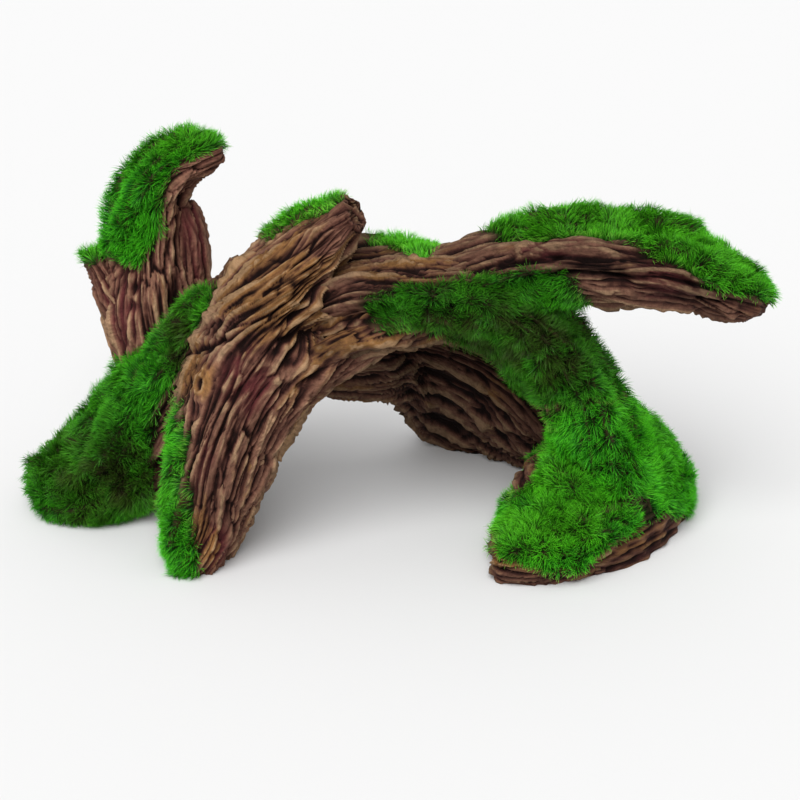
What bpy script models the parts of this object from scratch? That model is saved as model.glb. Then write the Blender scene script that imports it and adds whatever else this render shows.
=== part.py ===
"""A driftwood root that stands as an arch for an aquarium, with mats of moss on it.

Every limb of the root is a loft: a row of stations gives its middle line and its half sizes in millimetres,
and broad ribs of bark stand out from it. On the trunk and the arch the ribs follow guide lines, so that they
run on from one to the other. Each limb is cut back a hair from the limb that it grows out of. A moss mat is
a lumpy cushion round the limbs, cut to the outline of the mat as it is seen from the front and hollowed by
the limbs it lies on.
"""

import math

import bmesh
import bpy
import numpy as np
from mathutils import Matrix, Vector, noise
from mathutils.geometry import tessellate_polygon

# Driving sizes, in millimetres.
MM = 0.001
JOINT_GAP = 0.35
MAT_GAP = 0.6
MOSS_PILE = 4.5
MOSS_LIFT = 0.6
RIB_WIDTH = 9.0
RIB_LENGTH = 62.0
RIB_RELIEF = 3.4
GUIDE_REACH = 7.0
GUIDE_ROWS = 60
# The points of a ring lie this much closer together at the front, where the bark shows most.
FRONT_SHARE = 0.25
TUFT_WIDTH = 9.0
TUFT_RELIEF = 1.3
MAT_NEAR = -60.0
MAT_WAVER = 5.0
FLAT_ENOUGH = math.radians(1)
# The outlines of the mats are drawn as seen from the front and this far above level.
LOOK_DOWN = math.radians(25)

# Stations: x, y, z of the middle line, then half thickness and half width, all in millimetres.
TRUNK = [
    (-68, 17, -8, 5, 8),
    (-66, 21, 8, 10, 14),
    (-61, 25, 24, 13.5, 17),
    (-57, 28, 40, 16, 20),
    (-51, 33, 56, 19, 23),
    (-43, 38, 72, 20, 24),
    (-36.5, 42, 87.5, 16, 21),
    (-28.5, 45, 99, 10, 17),
    (-20.5, 46, 106, 6.5, 12),
    (-14.5, 46, 111, 4.5, 8.5),
]
KNOBS = [
    (-65, 27, 60, 4.0),
    (-66, 28, 71, 4.0),
]
KNOB_STRETCH = 1.8
KNOB_LEAN = math.radians(20)
TRUNK_BEND = [
    (-61, 22, 8, 6, 8),
    (-56, 21, 26, 9, 11),
    (-49, 24.5, 43, 10, 13),
    (-38, 29.5, 58, 10.5, 13.5),
    (-24, 35, 69.5, 10.5, 13.5),
    (-8, 39, 77, 9, 12.5),
    (7, 43, 81, 6, 9),
]
ARCH = [
    (-46, 44, 58, 9, 14),
    (-26, 46, 72, 13, 20),
    (-4, 48, 79, 14, 23),
    (16, 48, 81, 13, 24),
    (33, 46, 77, 12, 23),
    (47, 44, 67, 11, 21),
    (57, 42, 53, 11, 19),
    (65, 41, 37, 12, 20),
    (68, 42, 20, 15, 24),
    (68, 42, 6, 18, 28),
    (68, 42, -8, 18, 28),
]
CROWN_HUMP = [
    (-30, 51, 83, 7, 9),
    (-13, 55, 86.5, 8.5, 12),
    (2, 58, 85, 8, 13),
    (14, 57, 84, 7, 11),
    (24, 54, 85, 5, 7),
]
FOOT = [
    (67, 42, -8, 26, 42),
    (67, 42, 6, 26, 41),
    (68, 43, 18, 23, 36),
    (70, 42, 29, 15, 25),
    (71, 42, 38, 8, 14),
]
FRONT_TOE = [
    (74, 34, 14, 13, 20),
    (60, 25, 10, 13, 24),
    (47, 19, 7, 12, 20),
    (38, 15, 5, 10, 14.5),
    (33.5, 13, 4, 8, 11),
]
RIGHT_BRANCH = [
    (2, 46, 80, 8, 12),
    (18, 44, 88, 10, 15),
    (34, 43, 94, 10.5, 16),
    (51, 43, 97, 12.5, 18),
    (68, 42, 97, 12.5, 19),
    (84, 42, 95.5, 11.5, 19),
    (99, 39, 90.5, 8.5, 15),
    (111, 38, 86.5, 6, 11),
    (116, 36, 84, 3.5, 6),
]
REAR_ROOT = [
    (-32, 54, 56, 8, 14),
    (-17, 58, 54, 8, 17),
    (-4, 67, 49, 8, 21),
    (6, 83, 37, 9, 34),
    (18, 89, 29, 9, 37),
    (34, 86, 24, 10, 32),
    (48, 81, 19, 11, 25),
    (60, 76, 14, 11, 17),
]
LEFT_ROOT = [
    (-49, 50, 84, 8, 12),
    (-57, 50, 74, 12, 15),
    (-67, 51, 61, 13, 16),
    (-77, 54, 45, 15, 18),
    (-87, 57, 28, 18, 20),
    (-97, 60, 15, 18, 21),
    (-107, 61, 9, 16, 20),
    (-115, 60, 8, 13, 17),
    (-121, 59, 7, 9, 12),
]
LEFT_BRANCH = [
    (-78, 62, 40, 13, 14),
    (-80, 68, 58, 16, 15),
    (-82, 71, 75, 17, 15),
    (-83, 72, 90, 13.5, 13),
    (-82, 72, 103, 11.5, 11),
    (-79, 71, 114, 9.5, 10),
    (-73, 70, 120.5, 7.5, 9),
    (-66, 69, 123, 6, 7),
    (-60, 69, 124.5, 3.5, 4),
]
LEFT_SHOULDER = [
    (-84, 70, 58, 9, 9),
    (-92, 71, 70, 9, 9),
    (-98, 72, 79, 8, 9),
    (-102, 72, 85, 5, 6),
]
LEFT_SPUR = [
    (-74, 70, 56, 5, 7),
    (-71, 71, 74, 6, 8),
    (-70, 72, 92, 5, 7),
    (-72, 72, 104, 3, 4),
]

BACK = (0.0, 1.0, 0.0)
BACK_SLOPING = (0.0, 0.9, -0.42)
BACK_RISING = (0.0, 1.0, 0.1)
BACK_AND_DOWN = (0.0, 0.6, -0.8)
BACK_AND_RIGHT = (0.55, 0.83, 0.0)

# Each limb: its stations, the way its width runs, rows along it, points round it, where its ribs start,
# and how deep its far end is broken.
LIMBS = {
    "trunk": (TRUNK, BACK, 21, 28, 3.1, 2.4),
    "trunk_bend": (TRUNK_BEND, BACK, 12, 14, 3.1, 0),
    "arch": (ARCH, BACK_SLOPING, 18, 16, 3.1, 0),
    "crown_hump": (CROWN_HUMP, BACK, 7, 10, 3.1, 0),
    "foot": (FOOT, BACK_AND_RIGHT, 6, 17, 7.2, 0),
    "front_toe": (FRONT_TOE, BACK, 6, 10, 5.3, 0),
    "right_branch": (RIGHT_BRANCH, BACK_RISING, 16, 14, 21.0, 0),
    "rear_root": (REAR_ROOT, BACK_AND_DOWN, 12, 15, 31.0, 0),
    "left_root": (LEFT_ROOT, BACK, 13, 14, 41.0, 0),
    "left_branch": (LEFT_BRANCH, BACK, 14, 12, 51.0, 0),
    "left_shoulder": (LEFT_SHOULDER, BACK, 7, 8, 61.0, 0),
    "left_spur": (LEFT_SPUR, BACK, 8, 7, 71.0, 2.0),
}

# Guide lines for the ribs of the swept limbs, seen from the front: how far across the sweep each one lies
# from the inner edge of the arch, how far up the trunk it starts, and its x and z, all in millimetres.
SWEPT = ("trunk", "trunk_bend", "arch", "crown_hump")
GUIDES = [
    (0, 0, [(-64, 0), (-51, 10), (-45, 24), (-38, 40), (-30, 52), (-22, 62), (-12, 70), (0, 74), (15, 76),
            (30, 72), (42, 62), (50, 45), (52, 30), (50, 10)]),
    (13, 0, [(-66, 0), (-60, 20), (-55, 38), (-48, 55), (-38, 69), (-26, 78), (-11, 83.5), (6, 86.5), (22, 86),
             (38, 80), (50, 69), (58, 54), (63, 36), (64, 10)]),
    (23, 0, [(-68, 0), (-65, 22), (-62.5, 45), (-57, 60), (-46, 77), (-33, 88.5), (-20, 94), (-6, 95.5),
             (8, 94), (24, 91), (40, 88), (54, 78), (66, 60), (74, 36), (80, 8)]),
    (33, 45, [(-78, 66), (-71, 72), (-57, 84.5), (-43, 93), (-30, 102), (-18, 110), (-8, 117)]),
    (41, 61, [(-72, 86), (-62, 92.5), (-50, 98.5), (-37, 106.5), (-20, 117)]),
]

# Hollows and lips on the front of the right branch: middle x, y, z, half sizes, and depth inwards.
DENTS = [
    (44, 31, 106, 11, 6, 5, 3.0),
    (63, 24, 103, 10, 7, 4.5, 5.5),
    (68, 22, 97.5, 18, 6, 4, -2.0),
]

# Each piece of wood: the limbs grown together in it, the limbs it is cut back from, and its colour.
WOOD = {
    "trunk": (["trunk", "trunk_bend"], [], (0.16, 0.075, 0.06)),
    "arch_leg": (["arch", "crown_hump", "foot", "front_toe"], ["trunk", "trunk_bend"], (0.17, 0.08, 0.06)),
    "right_branch": (["right_branch"], ["trunk", "trunk_bend", "arch", "crown_hump"], (0.19, 0.09, 0.07)),
    "rear_root": (
        ["rear_root"],
        ["trunk", "trunk_bend", "arch", "crown_hump", "foot", "front_toe"],
        (0.18, 0.10, 0.05),
    ),
    "left_root": (["left_root"], ["trunk"], (0.14, 0.07, 0.05)),
    "left_branch": (
        ["left_branch", "left_shoulder", "left_spur"],
        ["trunk", "left_root"],
        (0.2, 0.09, 0.085),
    ),
}

# Outlines of the mats as seen from LOOK_DOWN: x to the right and height in the view, in millimetres.
LEFT_BRANCH_MAT = [
    (-111, 106), (-106, 104), (-100, 106), (-95, 105), (-87, 102), (-82, 108), (-77, 115), (-75, 128),
    (-71, 133), (-66, 137), (-61, 140), (-52, 144), (-52, 160), (-80, 162), (-100, 150), (-113, 122),
]
LEFT_ROOT_MAT = [
    (-132, 52), (-116, 60), (-104, 72), (-95, 82), (-87, 92), (-78, 99), (-68, 100), (-59, 98), (-58, 90),
    (-63, 84), (-67, 78), (-69, 69), (-77, 60), (-80, 47), (-81, 33), (-84, 20), (-86, 4), (-134, 4),
]
TRUNK_FLANK_MAT = [
    (-65, 74), (-68, 66.5), (-75.5, 57.5), (-77, 47), (-78, 34), (-80, 20), (-84, 7), (-85, -6), (-64, -6),
    (-65, 7), (-66, 27), (-66, 47), (-65, 60), (-63, 69),
]
STUB_MAT = [
    (-50, 128), (-50, 114), (-44, 111), (-38, 114), (-29, 117), (-23, 120), (-18, 123), (-16, 130),
    (-33, 136),
]
SADDLE_MAT = [
    (-17, 124), (-14, 113), (-7, 111), (-3, 109), (1, 106), (9, 105), (14, 108), (17, 114), (10, 124),
]
RIGHT_BRANCH_MAT = [
    (22, 128), (26, 113), (32, 111), (40, 113), (56, 113.5), (68, 110), (76, 106), (87, 102),
    (95, 95), (104, 91), (111, 90), (130, 90), (126, 112), (93, 134), (56, 136),
]
ARCH_MAT = [
    (-14, 91), (-10, 94), (-7, 97), (-2, 98), (12, 99), (26, 101), (38, 102), (50, 102), (58, 95),
    (61, 90), (62, 86), (74, 78), (86, 66), (84, 63), (65, 58), (52, 57), (46, 58), (37, 60), (33, 65),
    (29, 71),
    (21, 76), (12, 80), (0, 82), (-10, 82), (-13, 85),
]
FOOT_MAT = [
    (84, 62), (65, 57.2), (52, 56.2), (48, 55), (49, 52), (50, 44), (49, 38), (43, 36), (33, 29), (26, 20),
    (25, 11), (33, 6), (47, 4), (51, 1), (62, 3), (67, 9), (74, 13), (81, 17), (88, 23), (92, 20),
    (103, 20), (110, 50), (100, 60),
]

# Each mat: its outline, how far back it reaches, the limbs it covers, and its colour.
MATS = {
    "moss_left_branch": (LEFT_BRANCH_MAT, 77, ["left_branch", "left_shoulder"], (0.03, 0.2, 0.02)),
    "moss_left_root": (LEFT_ROOT_MAT, 66, ["left_root"], (0.025, 0.17, 0.02)),
    "moss_trunk_flank": (TRUNK_FLANK_MAT, 34, ["trunk"], (0.03, 0.22, 0.02)),
    "moss_stub": (STUB_MAT, 58, ["trunk"], (0.035, 0.22, 0.02)),
    "moss_saddle": (SADDLE_MAT, 70, ["crown_hump", "arch"], (0.035, 0.21, 0.02)),
    "moss_right_branch": (RIGHT_BRANCH_MAT, 54, ["right_branch"], (0.03, 0.2, 0.02)),
    "moss_arch": (ARCH_MAT, 46, ["arch", "right_branch"], (0.025, 0.16, 0.02)),
    "moss_foot": (FOOT_MAT, 74, ["arch", "foot", "front_toe"], (0.025, 0.18, 0.02)),
}


def smooth_row(stations, count):
    """The stations read off as `count` evenly spread rows, on a Catmull-Rom curve through them."""
    knots = np.array(stations, float)
    padded = np.vstack([2 * knots[0] - knots[1], knots, 2 * knots[-1] - knots[-2]])
    rows = []
    for place in np.linspace(0, len(knots) - 1, count):
        i = min(int(place), len(knots) - 2)
        t = place - i
        p0, p1, p2, p3 = padded[i : i + 4]
        rows.append(
            0.5 * (2 * p1 + (p2 - p0) * t + (2 * p0 - 5 * p1 + 4 * p2 - p3) * t * t
                   + (3 * p1 - p0 - 3 * p2 + p3) * t**3)
        )
    return np.array(rows)


def even_out(directions):
    """Directions along a limb with their quick turns evened out, so that no ring crosses the next."""
    for _ in range(3):
        padded = np.vstack([directions[:1], directions, directions[-1:]])
        directions = (padded[:-2] + 2 * padded[1:-1] + padded[2:]) / 4
    return directions


def guide_samples():
    """Rows read off the guide lines: x, z, the way along in x and z, across number and along number."""
    samples = []
    for across, start, guide in GUIDES:
        curve = smooth_row([(x, 0, z, 0, 0) for x, z in guide], GUIDE_ROWS)[:, [0, 2]]
        steps = np.linalg.norm(np.diff(curve, axis=0), axis=1)
        heading = np.gradient(curve, axis=0)
        heading /= np.linalg.norm(heading, axis=1)[:, None]
        along = start + np.concatenate([[0], np.cumsum(steps)])
        samples.append(np.column_stack([curve, heading, np.full(GUIDE_ROWS, float(across)), along]))
    return np.vstack(samples)


def sweep_place(place, samples):
    """How far across and along the sweep a place lies, blended from the guides near it."""
    gap = np.array([place[0], place[2]]) - samples[:, :2]
    away = np.sum(gap**2, axis=1)
    weight = np.exp(-(away - away.min()) / (2 * GUIDE_REACH**2))
    weight /= weight.sum()
    heading_x, heading_z = samples[:, 2], samples[:, 3]
    across = samples[:, 4] - gap[:, 0] * heading_z + gap[:, 1] * heading_x
    along = samples[:, 5] + gap[:, 0] * heading_x + gap[:, 1] * heading_z
    return float(weight @ across), float(weight @ along)


def rib_relief(grain, seed):
    """How far a rib stands out in millimetres, from two places across the grain and one along it."""
    a, b, along = grain
    place = Vector((a / RIB_WIDTH + seed, b / RIB_WIDTH, along / RIB_LENGTH))
    return RIB_RELIEF * (0.7 - 2.2 * abs(noise.noise(place)))


def dent_depth(place):
    """How far the hollows of the right branch sink its surface at a place, in millimetres."""
    depth = 0.0
    for x, y, z, wide, deep, tall, most in DENTS:
        gap = ((place[0] - x) / wide, (place[1] - y) / deep, (place[2] - z) / tall)
        depth += most * math.exp(-sum(part * part for part in gap))
    return depth


def tuft_relief(place):
    """How far a cushion of moss swells at a place, in millimetres."""
    return TUFT_RELIEF * noise.noise(Vector(place) / TUFT_WIDTH)


def closed_object(name, bm, collection):
    """An object with the closed mesh, its faces turned outwards."""
    bmesh.ops.recalc_face_normals(bm, faces=bm.faces)
    mesh = bpy.data.meshes.new(name)
    bm.to_mesh(mesh)
    bm.free()
    thing = bpy.data.objects.new(name, mesh)
    collection.objects.link(thing)
    return thing


def loft(name, limb, collection, grow=0.0, moss=False):
    """A closed limb through its stations, grown outwards in millimetres; as moss it is coarser and lumpy."""
    stations, side, rows, around, seed, broken = LIMBS[limb]
    if moss:
        rows = max(6, round(rows * 0.7))
        around = max(10, round(around * 0.55))
    line = smooth_row(stations, rows)
    middle = line[:, :3]
    tangents = even_out(np.gradient(middle, axis=0))
    lengths = np.concatenate([[0], np.cumsum(np.linalg.norm(np.diff(middle, axis=0), axis=1))])
    samples = guide_samples()
    bm = bmesh.new()
    rings = []
    for centre, tangent, length, (thick, wide) in zip(middle, tangents, lengths, line[:, 3:]):
        across = Vector(side).normalized()
        up = across.cross(Vector(tangent)).normalized()
        ring = []
        for k in range(around):
            angle = 2 * math.pi * k / around
            angle -= FRONT_SHARE * math.cos(angle)
            spread = grow
            if not moss:
                smooth = Vector(centre) + up * math.cos(angle) * thick + across * math.sin(angle) * wide
                if limb in SWEPT:
                    a, along = sweep_place(smooth, samples)
                    grain = (a, smooth.y, along)
                else:
                    radius = (thick + wide) / 2
                    turn = angle + 0.004 * length
                    grain = (math.cos(turn) * radius, math.sin(turn) * radius, length)
                relief = rib_relief(grain, seed)
                if limb == "right_branch":
                    relief -= dent_depth(smooth)
                spread += relief * min(1.0, thick / 8)
            offset = up * (math.cos(angle) * (thick + spread)) + across * (math.sin(angle) * (wide + spread))
            place = Vector(centre) + offset
            if moss:
                place += offset.normalized() * tuft_relief(place)
            ring.append(bm.verts.new(place * MM))
        rings.append(ring)
    for near, far in zip(rings, rings[1:]):
        for k in range(around):
            n = (k + 1) % around
            bm.faces.new((near[k], near[n], far[n]))
            bm.faces.new((near[k], far[n], far[k]))
    for k, corner in enumerate(rings[-1]):
        jag = 0.0 if moss else 2.0 * broken * noise.noise(Vector((0.7 * k, seed, 0.5)))
        corner.co += Vector(tangents[-1]).normalized() * jag * MM
    for row, outward, sunk in ((0, -1, 0.0), (-1, 1, broken)):
        away = Vector(tangents[row]).normalized() * outward
        for corner in rings[row]:
            corner.co += away * grow * MM
        hub = bm.verts.new((Vector(middle[row]) + away * (0.35 * line[row, 3] + grow - sunk)) * MM)
        for k in range(around):
            bm.faces.new((rings[row][k], rings[row][(k + 1) % around], hub))
    return closed_object(name, bm, collection)


def lump(name, x, y, z, radius, collection, grow=0.0):
    """A small knob of bark, drawn out along the trunk."""
    bm = bmesh.new()
    bmesh.ops.create_icosphere(bm, subdivisions=1, radius=(radius + grow) * MM)
    bmesh.ops.scale(bm, vec=(1, 1, KNOB_STRETCH), verts=bm.verts)
    bmesh.ops.rotate(bm, matrix=Matrix.Rotation(KNOB_LEAN, 3, "Y"), verts=bm.verts)
    bmesh.ops.translate(bm, vec=Vector((x, y, z)) * MM, verts=bm.verts)
    return closed_object(name, bm, collection)


def ground_box(collection, top):
    """A box that takes away all that lies below a height in millimetres."""
    bm = bmesh.new()
    bmesh.ops.create_cube(bm, size=0.6)
    bmesh.ops.translate(bm, vec=Vector((0, 0, top * MM - 0.3)), verts=bm.verts)
    return closed_object("ground_box", bm, collection)


def outline_prism(outline, reach, seed, collection):
    """The outline of a mat, drawn out along the view into a solid that ends on a wavering back."""
    slope, height = math.sin(LOOK_DOWN), math.cos(LOOK_DOWN)
    bm = bmesh.new()
    near, far = [], []
    for x, seen in outline:
        back = reach + MAT_WAVER * noise.noise(Vector((x / 17, seen / 17, seed)))
        near.append(bm.verts.new(Vector((x, MAT_NEAR, (seen - MAT_NEAR * slope) / height)) * MM))
        far.append(bm.verts.new(Vector((x, back, (seen - back * slope) / height)) * MM))
    for k in range(len(outline)):
        n = (k + 1) % len(outline)
        bm.faces.new((near[k], near[n], far[n], far[k]))
    for corners in tessellate_polygon([[Vector((x, seen, 0)) for x, seen in outline]]):
        bm.faces.new([near[k] for k in corners])
        bm.faces.new([far[k] for k in corners])
    return closed_object("mat_outline", bm, collection)


def clear_thin_faces(thing):
    """Closes up the hair-thin faces that a cut leaves along its edge."""
    bm = bmesh.new()
    bm.from_mesh(thing.data)
    bmesh.ops.remove_doubles(bm, verts=bm.verts, dist=0.08 * MM)
    bmesh.ops.dissolve_degenerate(bm, edges=bm.edges, dist=0.03 * MM)
    bmesh.ops.triangulate(bm, faces=bm.faces)
    bm.to_mesh(thing.data)
    bm.free()


def combine(target, other, operation):
    """Joins, cuts or keeps the overlap of two solids, with an exact Boolean; the other solid is used up."""
    step = target.modifiers.new("step", "BOOLEAN")
    step.operation = operation
    step.solver = "EXACT"
    step.object = other
    shaped = bpy.data.meshes.new_from_object(target.evaluated_get(bpy.context.evaluated_depsgraph_get()))
    target.modifiers.remove(step)
    old = target.data
    target.data = shaped
    bpy.data.meshes.remove(old)
    bpy.data.objects.remove(other)
    clear_thin_faces(target)


def keep_largest_body(thing):
    """Leaves only the largest closed body of an object."""
    bm = bmesh.new()
    bm.from_mesh(thing.data)
    waiting = set(bm.faces)
    bodies = []
    while waiting:
        body, still_to_cross = set(), [waiting.pop()]
        while still_to_cross:
            face = still_to_cross.pop()
            body.add(face)
            for edge in (edge for edge in face.edges if len(edge.link_faces) == 2):
                for other in edge.link_faces:
                    if other in waiting:
                        waiting.discard(other)
                        still_to_cross.append(other)
        bodies.append(body)
    bodies.sort(key=lambda body: sum(face.calc_area() for face in body), reverse=True)
    spare = [face for body in bodies[1:] for face in body]
    bmesh.ops.delete(bm, geom=spare, context="FACES")
    bmesh.ops.delete(bm, geom=[v for v in bm.verts if not v.link_faces], context="VERTS")
    bmesh.ops.dissolve_limit(bm, angle_limit=FLAT_ENOUGH, verts=bm.verts, edges=bm.edges)
    bmesh.ops.triangulate(bm, faces=bm.faces)
    bmesh.ops.recalc_face_normals(bm, faces=bm.faces)
    bm.to_mesh(thing.data)
    bm.free()


def paint(thing, colour, roughness):
    """Gives a piece its own material."""
    material = bpy.data.materials.new(thing.name + "_finish")
    material.use_nodes = True
    shader = material.node_tree.nodes["Principled BSDF"]
    shader.inputs["Base Color"].default_value = (*colour, 1.0)
    shader.inputs["Roughness"].default_value = roughness
    material.diffuse_color = (*colour, 1.0)
    thing.data.materials.clear()
    thing.data.materials.append(material)


def make_wood(name, parts, cutters):
    """A piece of wood: its limbs grown together, then cut back from its neighbours and flat at the ground."""
    limbs, neighbours, colour = WOOD[name]
    piece = loft(name, limbs[0], parts)
    for limb in limbs[1:]:
        combine(piece, loft(limb, limb, cutters), "UNION")
    if name == "trunk":
        for number, knob in enumerate(KNOBS):
            combine(piece, lump(f"knob_{number}", *knob, cutters), "UNION")
    for limb in neighbours:
        combine(piece, loft(limb, limb, cutters, grow=JOINT_GAP), "DIFFERENCE")
        if limb == "trunk":
            for number, knob in enumerate(KNOBS):
                combine(piece, lump(f"knob_{number}", *knob, cutters, grow=JOINT_GAP), "DIFFERENCE")
    combine(piece, ground_box(cutters, 0.0), "DIFFERENCE")
    keep_largest_body(piece)
    paint(piece, colour, 0.8)
    return piece


def make_mat(name, seed, parts, cutters):
    """A mat of moss: cushions round its limbs, inside its outline, hollowed by all the wood near it."""
    outline, reach, limbs, colour = MATS[name]
    mat = loft(name, limbs[0], parts, grow=MOSS_PILE, moss=True)
    for limb in limbs[1:]:
        combine(mat, loft(limb, limb, cutters, grow=MOSS_PILE, moss=True), "UNION")
    combine(mat, outline_prism(outline, reach, seed, cutters), "INTERSECT")
    for limb in LIMBS:
        combine(mat, loft(limb, limb, cutters, grow=MAT_GAP), "DIFFERENCE")
    for number, knob in enumerate(KNOBS):
        combine(mat, lump(f"knob_{number}", *knob, cutters, grow=MAT_GAP), "DIFFERENCE")
    combine(mat, ground_box(cutters, MOSS_LIFT), "DIFFERENCE")
    keep_largest_body(mat)
    paint(mat, colour, 0.9)
    return mat


def centre_on_ground(pieces):
    """Moves all pieces so that the middle of their box stands over the origin, on the ground."""
    places = np.array([v.co for piece in pieces for v in piece.data.vertices])
    low, high = places.min(axis=0), places.max(axis=0)
    shift = Vector((-(low[0] + high[0]) / 2, -(low[1] + high[1]) / 2, -low[2]))
    for piece in pieces:
        for vertex in piece.data.vertices:
            vertex.co += shift
    print("moved by", [round(value / MM, 4) for value in shift], "mm")


def main():
    for thing in list(bpy.data.objects):
        bpy.data.objects.remove(thing)
    parts = bpy.data.collections.new("mossy_aquarium_root")
    cutters = bpy.data.collections.new("cutters")
    bpy.context.scene.collection.children.link(parts)
    bpy.context.scene.collection.children.link(cutters)
    pieces = [make_wood(name, parts, cutters) for name in WOOD]
    pieces += [make_mat(name, 10.0 + seed, parts, cutters) for seed, name in enumerate(MATS)]
    centre_on_ground(pieces)
    for piece in pieces:
        print(piece.name, len(piece.data.polygons), "triangles")


if __name__ == "__main__":
    main()
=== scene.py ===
# %% [markdown]
# # A driftwood arch with moss
#
# The real thing is an ornament for an aquarium: a root that stands as an arch, with rough bark in long
# strands, and mats of bright green moss along its tops. The packed solids give the size and the place of
# every limb and mat. This lesson dresses them: each limb gets fine bark from real geometry, and each mat
# gets its fibres.

# %% Load the solids as a fixed frame
import math

import bpy
import numpy as np
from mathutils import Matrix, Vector, noise
from mathutils.kdtree import KDTree


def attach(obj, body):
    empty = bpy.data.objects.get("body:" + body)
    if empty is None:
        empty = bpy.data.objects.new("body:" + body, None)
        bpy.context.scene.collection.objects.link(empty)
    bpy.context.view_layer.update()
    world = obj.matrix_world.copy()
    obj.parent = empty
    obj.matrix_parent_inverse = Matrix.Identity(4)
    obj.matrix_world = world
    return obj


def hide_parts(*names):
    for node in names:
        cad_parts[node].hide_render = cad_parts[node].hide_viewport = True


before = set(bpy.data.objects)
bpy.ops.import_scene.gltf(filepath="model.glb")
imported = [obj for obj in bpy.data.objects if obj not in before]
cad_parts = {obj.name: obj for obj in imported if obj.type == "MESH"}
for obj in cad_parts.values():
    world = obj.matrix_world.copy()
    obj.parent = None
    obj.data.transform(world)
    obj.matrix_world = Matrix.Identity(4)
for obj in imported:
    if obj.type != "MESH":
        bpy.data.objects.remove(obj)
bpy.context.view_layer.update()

# %% [markdown]
# ## Two kinds of noise
#
# Bark could be painted on with a bump map, but its outline would stay smooth. Moving a fine mesh gives real
# ledges and furrows, and for half a million points the noise has to be worked out on whole arrays. Smooth
# noise makes the furrows, and cell noise breaks the bark into long planks, each at its own height.

# %% Smooth noise and cell noise on arrays
table_maker = np.random.default_rng(7)
SHUFFLE = np.tile(table_maker.permutation(256), 2)
ARROWS = table_maker.normal(size=(256, 3))
ARROWS /= np.linalg.norm(ARROWS, axis=1)[:, None]
SPOTS = table_maker.uniform(0.15, 0.85, (256, 3))
CHANCE = table_maker.uniform(0, 1, 256)


def cell_number(cells, seed):
    """A number from 0 to 255 for each whole-number cell."""
    x, y, z = (cells[..., k] & 255 for k in range(3))
    return SHUFFLE[SHUFFLE[SHUFFLE[(x + 37 * seed) & 255] + y] + z]


def smooth_noise(places, seed=0):
    """Noise without steps, from about -1 to 1, with features about one unit across."""
    cells = np.floor(places).astype(np.int64)
    inside = places - cells
    ease = inside**3 * (inside * (inside * 6 - 15) + 10)
    total = np.zeros(len(places))
    for corner in np.ndindex(2, 2, 2):
        arrows = ARROWS[cell_number(cells + corner, seed)]
        weight = np.prod(np.where(corner, ease, 1 - ease), axis=1)
        total += weight * np.einsum("ij,ij->i", arrows, inside - corner)
    return 1.5 * total


def plank_noise(places, seed=0):
    """Planks: how near a place is to a seam, its plank's chance number, and how far across and up it is."""
    cells = np.floor(places).astype(np.int64)
    nearest = np.full(len(places), 9.0)
    second = np.full(len(places), 9.0)
    owner = np.zeros(len(places), np.int64)
    sideways = np.zeros(len(places))
    upwards = np.zeros(len(places))
    for corner in np.ndindex(3, 3, 3):
        near_cells = cells + np.array(corner) - 1
        number = cell_number(near_cells, seed)
        gap = places - near_cells - SPOTS[number]
        away = np.linalg.norm(gap, axis=1)
        closer = away < nearest
        second = np.where(closer, nearest, np.minimum(second, away))
        owner = np.where(closer, number, owner)
        sideways = np.where(closer, gap[:, 0] + gap[:, 1], sideways)
        upwards = np.where(closer, gap[:, 2], upwards)
        nearest = np.where(closer, away, nearest)
    return second - nearest, CHANCE[owner], sideways, upwards


def rise(low, high, values):
    """0 below low, 1 above high, and a smooth step between."""
    t = np.clip((values - low) / (high - low), 0, 1)
    return t * t * (3 - 2 * t)


print("noise spread:", smooth_noise(table_maker.uniform(0, 50, (4000, 3))).std().round(3))

# %% [markdown]
# ## The limbs
#
# A root grows in limbs that fork, so each limb is a loft: stations along its middle line, and at each one a
# half thickness and a half width. These are the same stations as the solids have, in millimetres, before
# the solids were moved over the origin. Read off finely, they give smooth limbs for the bark to grow on.

# %% The stations of every limb, in millimetres
MM = 0.001
MOVED = np.array([2.7231, -53.3842, 0.0])

TRUNK = [
    (-68, 17, -8, 5, 8), (-66, 21, 8, 10, 14), (-61, 25, 24, 13.5, 17), (-57, 28, 40, 16, 20),
    (-51, 33, 56, 19, 23), (-43, 38, 72, 20, 24), (-36.5, 42, 87.5, 16, 21), (-28.5, 45, 99, 10, 17),
    (-20.5, 46, 106, 6.5, 12), (-14.5, 46, 111, 4.5, 8.5),
]
TRUNK_BEND = [
    (-61, 22, 8, 6, 8), (-56, 21, 26, 9, 11), (-49, 24.5, 43, 10, 13), (-38, 29.5, 58, 10.5, 13.5),
    (-24, 35, 69.5, 10.5, 13.5), (-8, 39, 77, 9, 12.5), (7, 43, 81, 6, 9),
]
ARCH = [
    (-46, 44, 58, 9, 14), (-26, 46, 72, 13, 20), (-4, 48, 79, 14, 23), (16, 48, 81, 13, 24),
    (33, 46, 77, 12, 23), (47, 44, 67, 11, 21), (57, 42, 53, 11, 19), (65, 41, 37, 12, 20),
    (68, 42, 20, 15, 24), (68, 42, 6, 18, 28), (68, 42, -8, 18, 28),
]
CROWN_HUMP = [
    (-30, 51, 83, 7, 9), (-13, 55, 86.5, 8.5, 12), (2, 58, 85, 8, 13), (14, 57, 84, 7, 11),
    (24, 54, 85, 5, 7),
]
FOOT = [
    (67, 42, -8, 26, 42), (67, 42, 6, 26, 41), (68, 43, 18, 23, 36), (70, 42, 29, 15, 25),
    (71, 42, 38, 8, 14),
]
FRONT_TOE = [
    (74, 34, 14, 13, 20), (60, 25, 10, 13, 24), (47, 19, 7, 12, 20), (38, 15, 5, 10, 14.5),
    (33.5, 13, 4, 8, 11),
]
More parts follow.
